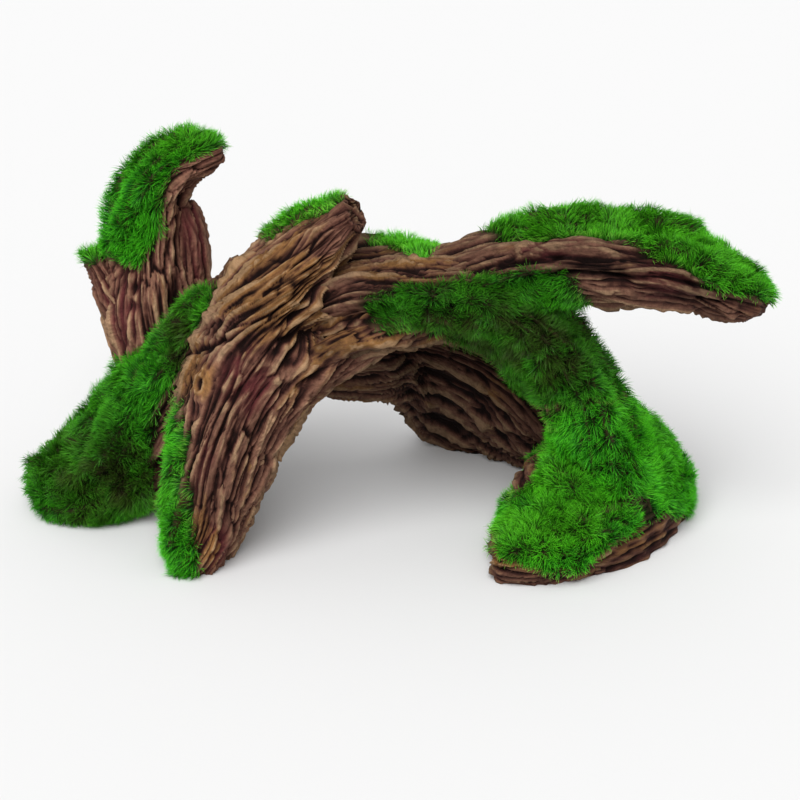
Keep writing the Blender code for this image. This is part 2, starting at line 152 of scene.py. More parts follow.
RIGHT_BRANCH = [
    (2, 46, 80, 8, 12), (18, 44, 88, 10, 15), (34, 43, 94, 10.5, 16), (51, 43, 97, 12.5, 18),
    (68, 42, 97, 12.5, 19), (84, 42, 95.5, 11.5, 19), (99, 39, 90.5, 8.5, 15), (111, 38, 86.5, 6, 11),
    (116, 36, 84, 3.5, 6),
]
REAR_ROOT = [
    (-32, 54, 56, 8, 14), (-17, 58, 54, 8, 17), (-4, 67, 49, 8, 21), (6, 83, 37, 9, 34),
    (18, 89, 29, 9, 37), (34, 86, 24, 10, 32), (48, 81, 19, 11, 25), (60, 76, 14, 11, 17),
]
LEFT_ROOT = [
    (-49, 50, 84, 8, 12), (-57, 50, 74, 12, 15), (-67, 51, 61, 13, 16), (-77, 54, 45, 15, 18),
    (-87, 57, 28, 18, 20), (-97, 60, 15, 18, 21), (-107, 61, 9, 16, 20), (-115, 60, 8, 13, 17),
    (-121, 59, 7, 9, 12),
]
LEFT_BRANCH = [
    (-78, 62, 40, 13, 14), (-80, 68, 58, 16, 15), (-82, 71, 75, 17, 15), (-83, 72, 90, 13.5, 13),
    (-82, 72, 103, 11.5, 11), (-79, 71, 114, 9.5, 10), (-73, 70, 120.5, 7.5, 9), (-66, 69, 123, 6, 7),
    (-60, 69, 124.5, 3.5, 4),
]
LEFT_SHOULDER = [(-84, 70, 58, 9, 9), (-92, 71, 70, 9, 9), (-98, 72, 79, 8, 9), (-102, 72, 85, 5, 6)]
LEFT_SPUR = [(-74, 70, 56, 5, 7), (-71, 71, 74, 6, 8), (-70, 72, 92, 5, 7), (-72, 72, 104, 3, 4)]

BACK = (0.0, 1.0, 0.0)
BACK_SLOPING = (0.0, 0.9, -0.42)
BACK_RISING = (0.0, 1.0, 0.1)
BACK_AND_DOWN = (0.0, 0.6, -0.8)
BACK_AND_RIGHT = (0.55, 0.83, 0.0)

# Each limb: its stations, the way its width runs, the rows of its solid, fine rows along it, and points
# round it.
LIMBS = {
    "trunk": (TRUNK, BACK, 20, 260, 210),
    "trunk_bend": (TRUNK_BEND, BACK, 14, 150, 110),
    "arch": (ARCH, BACK_SLOPING, 19, 230, 160),
    "crown_hump": (CROWN_HUMP, BACK, 7, 60, 80),
    "foot": (FOOT, BACK_AND_RIGHT, 7, 60, 220),
    "front_toe": (FRONT_TOE, BACK, 6, 50, 110),
    "right_branch": (RIGHT_BRANCH, BACK_RISING, 16, 210, 130),
    "rear_root": (REAR_ROOT, BACK_AND_DOWN, 13, 150, 170),
    "left_root": (LEFT_ROOT, BACK, 14, 120, 110),
    "left_branch": (LEFT_BRANCH, BACK, 15, 160, 120),
    "left_shoulder": (LEFT_SHOULDER, BACK, 7, 45, 70),
    "left_spur": (LEFT_SPUR, BACK, 8, 75, 60),
}
WOOD = {
    "trunk": ["trunk", "trunk_bend"],
    "arch_leg": ["arch", "crown_hump", "foot", "front_toe"],
    "right_branch": ["right_branch"],
    "rear_root": ["rear_root"],
    "left_root": ["left_root"],
    "left_branch": ["left_branch", "left_shoulder", "left_spur"],
}
print("limbs:", len(LIMBS), "in", len(WOOD), "pieces of wood")


# %% [markdown]
# ## From stations to a grid of points
#
# A smooth curve through the stations is read off in many rows, and each row is a ring of points. The ring
# turns with the limb as the solid's does. Domes close the ends, and a dish closes an end that broke off.

# %% A limb as a fine grid of points
def smooth_row(stations, count):
    """The stations read off as `count` evenly spread rows, on a smooth curve through them."""
    knots = np.array(stations, float)
    padded = np.vstack([2 * knots[0] - knots[1], knots, 2 * knots[-1] - knots[-2]])
    place = np.linspace(0, len(knots) - 1, count)
    i = np.minimum(place.astype(int), len(knots) - 2)
    t = (place - i)[:, None]
    p0, p1, p2, p3 = (padded[i + k] for k in range(4))
    return 0.5 * (2 * p1 + (p2 - p0) * t + (2 * p0 - 5 * p1 + 4 * p2 - p3) * t * t
                  + (3 * p1 - p0 - 3 * p2 + p3) * t**3)


def unit(vectors):
    """The vectors, each one unit long."""
    return vectors / np.maximum(np.linalg.norm(vectors, axis=-1, keepdims=True), 1e-9)


CAP_ROWS = 7
CAP_SWELL = 0.35
# The points of a ring lie this much closer together at the front, where the bark shows most.
FRONT_SHARE = 0.45
BROKEN = {"trunk": 2.4, "left_spur": 2.0}


def held_on(rows):
    """Rows of a limb, with the first and the last one repeated over its caps."""
    return np.concatenate([rows[:1].repeat(CAP_ROWS, 0), rows, rows[-1:].repeat(CAP_ROWS, 0)])


def with_caps(middle, tangent, thick, wide, broken):
    """A limb's rows, and rows added at both ends that close it in a dome, or in a dish where it broke."""
    bend = np.linspace(0, 0.97 * math.pi / 2, CAP_ROWS + 1)[1:, None]
    shrink = np.cos(bend[:, 0])
    near = middle[0] - tangent[0] * np.sin(bend) * CAP_SWELL * thick[0]
    swell = -broken if broken else CAP_SWELL * thick[-1]
    far = middle[-1] + tangent[-1] * np.sin(bend) * swell
    middle = np.vstack([near[::-1], middle, far])
    shrink = np.concatenate([shrink[::-1], np.ones(len(thick)), shrink])
    return middle, held_on(tangent), held_on(thick), held_on(wide), shrink


def limb_grid(name):
    """A limb's smooth points, the ways out of them, the distances along it and the angles round it."""
    stations, side, solid_rows, along, around = LIMBS[name]
    turns = np.gradient(smooth_row(stations, solid_rows)[:, :3], axis=0)
    for _ in range(3):
        padded = np.vstack([turns[:1], turns, turns[-1:]])
        turns = (padded[:-2] + 2 * padded[1:-1] + padded[2:]) / 4
    line = smooth_row(stations, along)
    middle, thick, wide = line[:, :3], line[:, 3], line[:, 4]
    spots = np.linspace(0, solid_rows - 1, along)
    tangent = [np.interp(spots, np.arange(solid_rows), turns[:, k]) for k in range(3)]
    tangent = unit(np.stack(tangent, axis=1))
    middle, tangent, thick, wide, shrink = with_caps(middle, tangent, thick, wide, BROKEN.get(name, 0))
    across = unit(np.array(side))
    up = unit(np.cross(across, tangent))
    angle = np.linspace(0, 2 * math.pi, around, endpoint=False)
    angle = angle - FRONT_SHARE * np.cos(angle)
    offset = (up[:, None] * (np.cos(angle)[:, None] * (thick * shrink)[:, None, None])
              + across * (np.sin(angle)[:, None] * (wide * shrink)[:, None, None]))
    points = middle[:, None] + offset
    round_it = np.roll(points, -1, axis=1) - np.roll(points, 1, axis=1)
    out = unit(np.cross(round_it, np.gradient(points, axis=0)))
    if np.sum(out * offset) < 0:
        out = -out
    length = np.cumsum(np.append(0, np.sum(np.diff(middle, axis=0) * tangent[1:], axis=1)))
    return {"points": points, "out": out, "length": length - length[CAP_ROWS], "angle": angle,
            "thick": thick, "wide": wide, "shrink": shrink, "middle": middle, "up": up,
            "across": across, "tangent": tangent}


grids = {name: limb_grid(name) for name in LIMBS}
print("points on the limbs:", sum(grid["points"][..., 0].size for grid in grids.values()))

# %% [markdown]
# ## Which way the bark runs
#
# On most limbs the strands follow the limb. The trunk and the arch are different: their strands run on from
# one to the other in one sweep, some up into the broken stub and the rest over the arch. Guide lines drawn
# on the front give that sweep. Near a guide, `across` counts millimetres from the inner edge of the arch
# and `along` counts millimetres down the line.

# %% Guide lines for the sweep of trunk and arch
GUIDES = [
    (0, 0, [(-64, 0), (-51, 10), (-45, 24), (-38, 40), (-30, 52), (-22, 62), (-12, 70), (0, 74), (15, 76),
            (30, 72), (42, 62), (50, 45), (52, 30), (50, 10)]),
    (13, 0, [(-66, 0), (-60, 20), (-55, 38), (-48, 55), (-38, 69), (-26, 78), (-11, 83.5), (6, 86.5),
             (22, 86), (38, 80), (50, 69), (58, 54), (63, 36), (64, 10)]),
    (23, 0, [(-68, 0), (-65, 22), (-62.5, 45), (-57, 60), (-46, 77), (-33, 88.5), (-20, 94), (-6, 95.5),
             (8, 94), (24, 91), (40, 88), (54, 78), (66, 60), (74, 36), (80, 8)]),
    (33, 45, [(-78, 66), (-71, 72), (-57, 84.5), (-43, 93), (-30, 102), (-18, 110), (-8, 117)]),
    (41, 61, [(-72, 86), (-62, 92.5), (-50, 98.5), (-37, 106.5), (-20, 117)]),
]
GUIDE_REACH = 7.0


def guide_samples():
    """Places on the guides, the way along each, and its across and along numbers."""
    rows = []
    for across, start, line in GUIDES:
        curve = smooth_row([(x, 0, z, 0, 0) for x, z in line], 60)[:, [0, 2]]
        steps = np.linalg.norm(np.diff(curve, axis=0), axis=1)
        along = start + np.concatenate([[0], np.cumsum(steps)])
        heading = unit(np.gradient(curve, axis=0))
        rows.append(np.column_stack([curve, heading, np.full(60, float(across)), along]))
    return np.vstack(rows)


def sweep_place(points):
    """Across and along numbers of points, blended from the guides near them."""
    guides = guide_samples()
    result = np.zeros((len(points), 2))
    for start in range(0, len(points), 20000):
        spots = points[start:start + 20000, [0, 2]]
        gap = spots[:, None] - guides[None, :, :2]
        away = np.sum(gap**2, axis=2)
        weight = np.exp(-(away - away.min(axis=1, keepdims=True)) / (2 * GUIDE_REACH**2))
        weight /= weight.sum(axis=1, keepdims=True)
        heading = guides[:, 2:4]
        left = np.column_stack([-heading[:, 1], heading[:, 0]])
        across = guides[:, 4] + np.einsum("nmk,mk->nm", gap, left)
        along = guides[:, 5] + np.einsum("nmk,mk->nm", gap, heading)
        result[start:start + 20000, 0] = np.sum(weight * across, axis=1)
        result[start:start + 20000, 1] = np.sum(weight * along, axis=1)
    return result


print("places on the guides:", len(guide_samples()))

# %% [markdown]
# ## Where a point lies in the bark
#
# Every point of a limb has two addresses. One says where it lies in the grain, by the same sums as in the
# solids, so that the broad ribs agree with theirs. The other says where it lies among the thin strands. That
# one is measured along the bark, round the limb from its front, so strands stay as wide all the way round.

# %% Addresses in the grain and among the strands
SWEPT = ("trunk", "trunk_bend", "arch", "crown_hump")
# On the foot the bark lies in layers round it instead.
LAYERED = ("foot", "front_toe")
LAYER_STRETCH = 12.0


def grain_of(name):
    """For every point of a limb: two places across the strands and one along them, in millimetres."""
    grid = grids[name]
    points = grid["points"].reshape(-1, 3)
    if name in SWEPT:
        sweep = sweep_place(points)
        return np.column_stack([sweep[:, 0], points[:, 1], sweep[:, 1]])
    radius = ((grid["thick"] + grid["wide"]) / 2 * grid["shrink"])[:, None]
    turn = grid["angle"][None, :] + 0.004 * grid["length"][:, None]
    along = np.broadcast_to(grid["length"][:, None], turn.shape)
    sideways, backwards = np.cos(turn) * radius, np.sin(turn) * radius
    return np.column_stack([sideways.ravel(), backwards.ravel(), along.ravel()])


def column_gaps(grid):
    """Millimetres from each point of a limb to the next one round it."""
    return np.linalg.norm(np.roll(grid["points"], -1, axis=1) - grid["points"], axis=2)


def strands_of(name):
    """Where each point of a limb lies among the thin strands, which keep to its surface all round it."""
    grid = grids[name]
    if name in LAYERED:
        points = grid["points"].reshape(-1, 3)
        return np.column_stack([points[:, 2], points[:, 0] / LAYER_STRETCH, points[:, 1]])
    rows, columns = grid["points"].shape[:2]
    across, _, along = (values.reshape(rows, columns) for values in grid["grain"].T)
    front = np.argmin(np.abs(grid["angle"] - 1.5 * math.pi))
    steps = np.roll(column_gaps(grid), -front, axis=1)
    around = steps.sum(axis=1, keepdims=True)
    arc = np.cumsum(steps, axis=1) - steps
    arc = np.roll((arc + around / 2) % np.maximum(around, 1e-6) - around / 2, front, axis=1)
    if name not in SWEPT:
        return np.column_stack([arc.ravel(), np.zeros(along.size), along.ravel()])
    leftwards = np.sign(across[rows // 2, front - 8] - across[rows // 2, front + 8])
    round_it = across[:, front, None] - leftwards * arc
    seen = rise(0.2, 0.75, -grid["out"][..., 1])
    across = seen * across + (1 - seen) * round_it
    along = seen * along + (1 - seen) * along[:, front, None]
    return np.column_stack([across.ravel(), np.zeros(across.size), along.ravel()])


for name, grid in grids.items():
    grid["grain"] = grain_of(name)
    grid["strands"] = strands_of(name)
trunk_across = grids["trunk"]["grain"][:, 0]
print("trunk grain, across:", trunk_across.min().round(1), trunk_across.max().round(1))

# %% [markdown]
# ## Bark
#
# Old bark on driftwood is a bundle of strands. Broad ribs swell and fork, and the solids have those too.
# Between them run creases and threads, planks have come loose at different heights and tilts, and fine
# fibres cover it all. Each of these is one noise, stretched along the grain, and each moves the surface out
# or in by its own depth.

# %% Ribs, strands and planks
RIB_WIDTH = 9.0
RIB_LENGTH = 62.0
RIB_RELIEF = 3.4
# Where each limb's ribs start in the noise; the solids use the same numbers.
RIB_SEEDS = {
    "trunk": 3.1, "trunk_bend": 3.1, "arch": 3.1, "crown_hump": 3.1, "foot": 7.2, "front_toe": 5.3,
    "right_branch": 21.0, "rear_root": 31.0, "left_root": 41.0, "left_branch": 51.0,
    "left_shoulder": 61.0, "left_spur": 71.0,
}
# On the foot the ribs have worn down.
RIB_SHARE = {"foot": 0.3, "front_toe": 0.3}
# How wide and how long each kind of strand is, and how far it moves the bark, in millimetres.
SWAY, SWAY_BY = (14, 46), 2.4
SHIVER, SHIVER_BY = (4, 13), 0.5
CREASES, CREASE_DEPTH, CREASE_SHARPNESS = (2.9, 70), 1.7, 2.8
THREADS, THREAD_HEIGHT, THREAD_SHARPNESS = (1.45, 36), 1.2, 2.4
FIBRES, FIBRE_HEIGHT = (0.85, 9), 0.28
CRUMBS, CRUMB_HEIGHT = (1.1, 3.0), 0.3
BROKEN_ENDS, BROKEN_HEIGHT = (1.8, 1.8), 1.5
LOOSE_PLANKS = (4.8, 46)
CHIPS = (2.3, 24)
# A plank's step, tilts and seam, as shares of its width.
PLANK_STEP = 0.32
PLANK_TILT_ALONG = 0.22
PLANK_TILT_ACROSS = 0.6
SEAM_DEPTH = 0.22
SEAM_WIDTH = 0.13


def ribs(grain, seed):
    """The broad ribs, in millimetres, just as the solids have them."""
    places = grain / (RIB_WIDTH, RIB_WIDTH, RIB_LENGTH) + (seed, 0, 0)
    values = np.array([noise.noise(place) for place in places.tolist()])
    return RIB_RELIEF * (0.7 - 2.2 * np.abs(values))


def strand_noise(strands, size, seed):
    """Smooth noise as wide across the strands and as long along them as `size` says."""
    width, length = size
    return smooth_noise(strands / (width, width, length), seed)


def planks(strands, size, seed):
    """Loose planks: millimetres they stand out, and their chance numbers."""
    width, length = size
    seam, chance, sideways, upwards = plank_noise(strands / (width, width, length), seed)
    tilt = (chance * 7.31) % 1 - 0.5
    stands = PLANK_STEP * (chance - 0.5) + PLANK_TILT_ALONG * upwards + PLANK_TILT_ACROSS * tilt * sideways
    return width * (stands - SEAM_DEPTH * (1 - rise(0.0, SEAM_WIDTH, seam))), chance


def fits_mesh(size, gaps):
    """1 where the mesh is fine enough for strands of this size, 0 where it would turn them into teeth."""
    return rise(0.8, 2.0, size[0] / np.maximum(gaps, 1e-3))


trunk_ribs = ribs(grids["trunk"]["grain"], RIB_SEEDS["trunk"])
print("ribs on the trunk, in mm:", trunk_ribs.min().round(2), "to", trunk_ribs.max().round(2))

# %% [markdown]
# ## Forms in known places
#
# Some forms are where anyone would look for them: the dark hollow under the ridge of the right branch, the
# crevice where the trunk bends, the knob with its eye. Soft dents give the hollows and the swellings.
# Ridges and crevices are drawn as lines, as they are seen from the front, and reach only the side of a
# limb that faces that way.

# %% Dents and drawn lines
VIEW_DOWN = math.radians(25)
# Places on the limbs: limb, x, y, z of the middle, half sizes in x, y and z, and the depth inwards, less
# than 0 where the bark swells.
DENTS = [
    ("right_branch", 44, 31, 106, 11, 6, 5, 2.0),
    ("right_branch", 61, 24, 99, 9, 7, 3.5, 2.5),
    ("left_branch", -73, 56, 78, 4, 8, 14, 3.0),
    ("left_branch", -80, 54, 84, 3, 6, 12, -2.0),
    ("left_branch", -88, 59, 80, 2, 3, 2, 3.5),
    ("left_branch", -88, 59, 74, 2, 3, 2, 3.5),
    ("trunk", -57, 10, 24, 2.5, 4, 3, 3.5),
    ("trunk", -65, 17, 52, 3, 6, 2.5, -2.0),
    ("trunk", -69, 27, 73.5, 7, 8, 3.0, -4.0),
    ("trunk", -22, 36, 88, 6, 12, 9, 2.5),
    ("arch", -15, 32, 88, 9, 12, 8, -3.0),
]
# Limbs, how high (less than 0 for a crevice), the half width, and the line as x to the right and height in
# the view, all in millimetres.
SWEEP = ("trunk", "trunk_bend", "arch")
LINES = [
    (("right_branch",), 2.2, 1.6, [(38, 106), (47, 108.5), (54, 110), (60, 109.5), (67, 106), (75, 101),
                                   (84, 97), (94, 94), (105, 89)]),
    (("right_branch",), -4.5, 2.8, [(52, 100), (58, 102.5), (64, 101), (70, 97.5)]),
    (("right_branch",), 1.6, 1.5, [(46, 97), (56, 98), (63, 96), (73, 93), (84, 90)]),
    (("right_branch",), -1.8, 1.3, [(32, 103), (42, 104), (50, 106)]),
    (("right_branch",), -1.6, 1.2, [(70, 104), (80, 99), (92, 96)]),
    (SWEEP, -2.8, 1.5, [(-10, 85.5), (-25, 83), (-36, 78), (-46, 68), (-53, 60)]),
    (SWEEP, 1.9, 1.6, [(-8, 90.5), (-23, 87.7), (-37, 83.3), (-48, 74), (-55, 64)]),
    (SWEEP, 2.2, 1.5, [(-39, 66.5), (-25, 75.3), (-12, 79.7), (2, 81)]),
    (SWEEP, -2.4, 1.4, [(-33, 65), (-22, 72.5), (-8, 76.5), (4, 77.5)]),
    (("trunk",), -2.4, 1.6, [(-13, 113), (-20.7, 106), (-27.3, 100), (-33, 96)]),
    (("trunk",), 2.0, 1.5, [(-72, 79), (-62, 84), (-52, 87), (-40, 94), (-27, 103)]),
    (("trunk",), -3.0, 1.3, [(-72, 73), (-66, 74.5), (-55, 79)]),
]
LINE_WAVER = 0.8
WAVER_LENGTH = 4
WAVER_SEED = 95
# From nearly edge on to well turned to the view, a side takes on the drawn lines.
TURNED = (0.1, 0.45)


def gathered(places, name, points):
    """The places of one kind on a limb, added up as soft spots at its points."""
    total = np.zeros(len(points))
    for limb, x, y, z, wide, deep, tall, amount in places:
        if limb == name:
            gap = (points - (x, y, z)) / (wide, deep, tall)
            total += amount * np.exp(-np.sum(gap**2, axis=1))
    return total


def in_view(points):
    """Where points are seen from the front, looking down: x to the right and height, in millimetres."""
    height = points[:, 1] * math.sin(VIEW_DOWN) + points[:, 2] * math.cos(VIEW_DOWN)
    return np.column_stack([points[:, 0], height])


def away_from_line(line, spots):
    """Millimetres from flat spots to a bent line."""
    nearest = np.full(len(spots), 1e9)
    for (x0, y0), (x1, y1) in zip(line, line[1:]):
        edge = np.array([x1 - x0, y1 - y0])
        t = np.clip(((spots - (x0, y0)) @ edge) / (edge @ edge), 0, 1)
        nearest = np.minimum(nearest, np.linalg.norm(spots - (x0, y0) - t[:, None] * edge, axis=1))
    return nearest


def drawn_lines(name, points, out):
    """Millimetres that the drawn ridges stand out, only on the side of a limb that faces the view."""
    spots = in_view(points)
    spots[:, 1] += LINE_WAVER * smooth_noise(points / WAVER_LENGTH, WAVER_SEED)
    total = np.zeros(len(points))
    for limbs, height, half_width, line in LINES:
        if name in limbs:
            total += height * np.exp(-(away_from_line(line, spots) / half_width)**2)
    facing = out[:, 2] * math.sin(VIEW_DOWN) - out[:, 1] * math.cos(VIEW_DOWN)
    return total * rise(*TURNED, facing)


print("dents:", len(DENTS), "drawn lines:", len(LINES))

# %% [markdown]
# ## Stains and painted shade
#
# Colour that lies in known places is kept in the same way: wine red where the bark is thin, ochre where it
# is worn, and painted shade, nearly black, in hollows, under ridges and moss, inside the vault and along the
# ground. Nothing is raised for these. The finish reads them later.

# %% Places of the stains and of the painted shade: as for dents, and how strong
WINE_STAINS = [
    ("right_branch", 44, 30, 106, 13, 12, 5, 0.9),
    ("right_branch", 83, 26, 98, 15, 12, 5, 0.9),
    ("left_spur", -70, 66, 95, 7, 12, 15, 1.0),
    ("left_branch", -94, 60, 70, 8, 16, 16, 0.8),
    ("left_shoulder", -95, 62, 74, 8, 16, 14, 0.8),
    ("trunk", -48, 14, 66, 10, 16, 12, 0.7),
    ("trunk", -56, 9, 34, 10, 16, 16, 0.7),
    ("trunk", -59, 12, 10, 6, 12, 9, 0.8),
]
# Painted shade: dark places in hollows, under ridges and moss, inside the vault and along the ground.
PAINTED_SHADE_PLACES = [
    ("right_branch", 61, 24, 100, 10, 10, 3, 1.0),
    ("right_branch", 90, 24, 93, 14, 10, 2.5, 0.6),
    ("trunk_bend", -20, 27, 73, 16, 14, 3, 0.7),
    ("arch", -12, 34, 72, 30, 16, 6, 0.8),
    ("arch", 0, 40, 90, 34, 24, 14, 0.25),
    ("arch", 50, 50, 50, 30, 30, 24, 0.35),
    ("crown_hump", 0, 56, 92, 34, 24, 16, 0.25),
    ("foot", 56, 20, 3, 40, 30, 2, 0.6),
    ("front_toe", 44, 6, 3, 30, 20, 2, 0.6),
    ("trunk", -57, 10, 22, 3, 8, 3, 0.9),
    ("left_branch", -76, 54, 70, 3, 10, 12, 0.6),
]
OCHRE_STAINS = [
    ("trunk", -30, 30, 98, 18, 18, 12, 0.8),
    ("trunk", -44, 20, 88, 18, 16, 7, 0.8),
    ("trunk", -63, 20, 64, 6, 9, 6, 1.0),
    ("trunk", -68, 26, 74, 6, 9, 4, 0.9),
    ("trunk", -62, 10, 16, 2.5, 9, 9, 0.9),
    ("trunk_bend", -18, 26, 80, 20, 12, 6, 0.6),
    ("arch", 0, 34, 90, 24, 16, 8, 0.6),
    ("crown_hump", -8, 48, 92, 20, 16, 8, 0.7),
    ("right_branch", 20, 36, 96, 14, 16, 8, 0.5),
    ("left_branch", -84, 56, 88, 5, 12, 14, 0.7),
    ("foot", 60, 18, 10, 40, 26, 5, 1.3),
    ("front_toe", 42, 4, 9, 30, 14, 5, 1.3),
]
print("stains:", len(WINE_STAINS) + len(PAINTED_SHADE_PLACES) + len(OCHRE_STAINS))

# %% [markdown]
# ## All of the relief
#
# Each limb adds up its ribs, strands, planks, lines and dents. Strands that the mesh is too coarse for are
# faded out, or they would turn into saw teeth at the back, where the points lie further apart. Thin ends
# get less relief, so that they don't swell into clubs.

# %% How far the bark stands out
KNOT_PLACE = (-62.5, 17, 64)
KNOT_REACH = 5.0
KNOT_SQUASH = (1.2, 1, 0.85)
KNOT_SMOOTHS = 0.85
KNOT_HEIGHT = 2.8
KNOT_RING_HEIGHT = 0.6
KNOT_RINGS = 2.6
EYE_REACH = 1.8
EYE_DEPTH = 3.4
FULL_THICKNESS = 8.0
# What goes below the ground is drawn in by this share, fully so at this depth.
TUCK = 0.25
TUCK_DEPTH = 2.0


def knotted(relief, points):
    """The bark of the trunk with a knob on it: a smooth swelling with rings and a dark eye."""
    knot = points[np.argmin(np.sum((points - KNOT_PLACE)**2, axis=1))]
    gap = np.linalg.norm((points - knot) * KNOT_SQUASH, axis=1)
    near = np.exp(-(gap / KNOT_REACH)**2)
    relief = relief * (1 - KNOT_SMOOTHS * near)
    relief += near * (KNOT_HEIGHT + KNOT_RING_HEIGHT * np.cos(gap * KNOT_RINGS))
    return relief - EYE_DEPTH * np.exp(-(gap / EYE_REACH)**2)


def bark_relief(name, seed):
    """Millimetres that the bark stands out at each point of a limb, and its plank's chance number."""
    grid = grids[name]
    points = grid["points"].reshape(-1, 3)
    gaps = column_gaps(grid).ravel()
    strands = grid["strands"]
    still = np.zeros(len(points))
    sway_a, sway_b = (strand_noise(strands, SWAY, seed + k) for k in range(2))
    shiver = strand_noise(strands, SHIVER, seed + 2)
    strands = strands + SWAY_BY * np.column_stack([sway_a, sway_b, still])
    strands += SHIVER_BY * np.column_stack([shiver, -shiver, still])
    creases = np.minimum(np.abs(strand_noise(strands, CREASES, seed + 3)) * CREASE_SHARPNESS, 1)
    threads = np.minimum(np.abs(strand_noise(strands, THREADS, seed + 4)) * THREAD_SHARPNESS, 1)
    fibres = strand_noise(strands, FIBRES, seed + 5)
    loose, plank = planks(strands, LOOSE_PLANKS, seed + 6)
    chipped, _ = planks(strands, CHIPS, seed + 7)
    crumbs = strand_noise(strands, CRUMBS, seed + 9)
    relief = ribs(grid["grain"], RIB_SEEDS[name]) * RIB_SHARE.get(name, 1.0)
    relief += CREASE_DEPTH * creases - 0.9 + loose + chipped * fits_mesh(CHIPS, gaps)
    relief += THREAD_HEIGHT * (0.5 - threads) * fits_mesh(THREADS, gaps)
    relief += FIBRE_HEIGHT * fibres * fits_mesh(FIBRES, gaps)
    relief += CRUMB_HEIGHT * crumbs * fits_mesh(CRUMBS, gaps)
    end_on = np.broadcast_to(grid["shrink"][:, None] < 1, grid["points"].shape[:2]).ravel()
    relief += end_on * BROKEN_HEIGHT * strand_noise(strands, BROKEN_ENDS, seed + 8)
    relief += drawn_lines(name, points, grid["out"].reshape(-1, 3)) - gathered(DENTS, name, points)
    if name == "trunk":
        relief = knotted(relief, points)
    slender = np.minimum(1.0, grid["thick"] / FULL_THICKNESS)
    return relief * np.repeat(slender, len(grid["angle"])), plank


def tucked_in(points, grid):
    """The points, with those below the ground drawn in towards the middle of the limb."""
    middle = np.repeat(grid["middle"], len(grid["angle"]), axis=0)
    share = TUCK * rise(0, TUCK_DEPTH, -points[:, 2:]) * (1, 1, 0)
    return points * (1 - share) + middle * share


for order, (name, grid) in enumerate(grids.items()):
    points = grid["points"].reshape(-1, 3)
    grid["relief"], grid["plank"] = bark_relief(name, 11 * order)
    moved = points + grid["out"].reshape(-1, 3) * grid["relief"][:, None]
    grid["surface"] = (tucked_in(moved, grid) + MOVED) * MM
    for kind, stains_and_shade in (("wine", WINE_STAINS), ("ochre", OCHRE_STAINS), ("dark", PAINTED_SHADE_PLACES)):
        grid[kind] = gathered(stains_and_shade, name, points)
    print(name, "bark from", grid["relief"].min().round(2), "to", grid["relief"].max().round(2), "mm")

# %% [markdown]
# ## Furrows and ridges
#
# Dirt settles in furrows and ridges are rubbed light, so the finish has to know which is which. The bark
# less its own blurred copy tells: below 0 is a furrow, above 0 a ridge. A narrow blur finds the threads and
# a wide one finds the hollows between ribs.

# %% How far each point stands above its neighbourhood
FINE_REACH = 1.3
BROAD_REACH = 4.5


def blurred(values, rows, columns):
    """A grid of values round a limb, evened out over some rows and columns."""
    for _ in range(2):
        padded = np.pad(values, ((rows, rows), (0, 0)), mode="edge")
        total = np.cumsum(np.vstack([np.zeros((1, values.shape[1])), padded]), axis=0)
        values = (total[2 * rows + 1:] - total[:-2 * rows - 1]) / (2 * rows + 1)
        values = sum(np.roll(values, k, axis=1) for k in range(-columns, columns + 1)) / (2 * columns + 1)
    return values


def above_blur(name, reach):
    """Millimetres above the bark as it is when evened out over a reach in millimetres."""
    grid = grids[name]
    relief = grid["relief"].reshape(grid["points"].shape[:2])
    row_step = np.ptp(grid["length"]) / len(grid["length"])
    column_step = 2 * math.pi * np.mean(grid["thick"] + grid["wide"]) / 2 / len(grid["angle"])
    rows, columns = (max(1, round(reach / step)) for step in (row_step, column_step))
    return (relief - blurred(relief, rows, columns)).ravel()


for name, grid in grids.items():
    grid["fine"] = above_blur(name, FINE_REACH)
    grid["broad"] = above_blur(name, BROAD_REACH)
print("trunk, spread of fine and broad:", [grids["trunk"][key].std().round(2) for key in ("fine", "broad")])

# %% [markdown]
# ## Where the moss lies
#
# Each mat has an outline as the arch is seen from the front, looking down by 25 degrees, and it reaches so
# far back. The solids of the mats are cut to the same outlines.

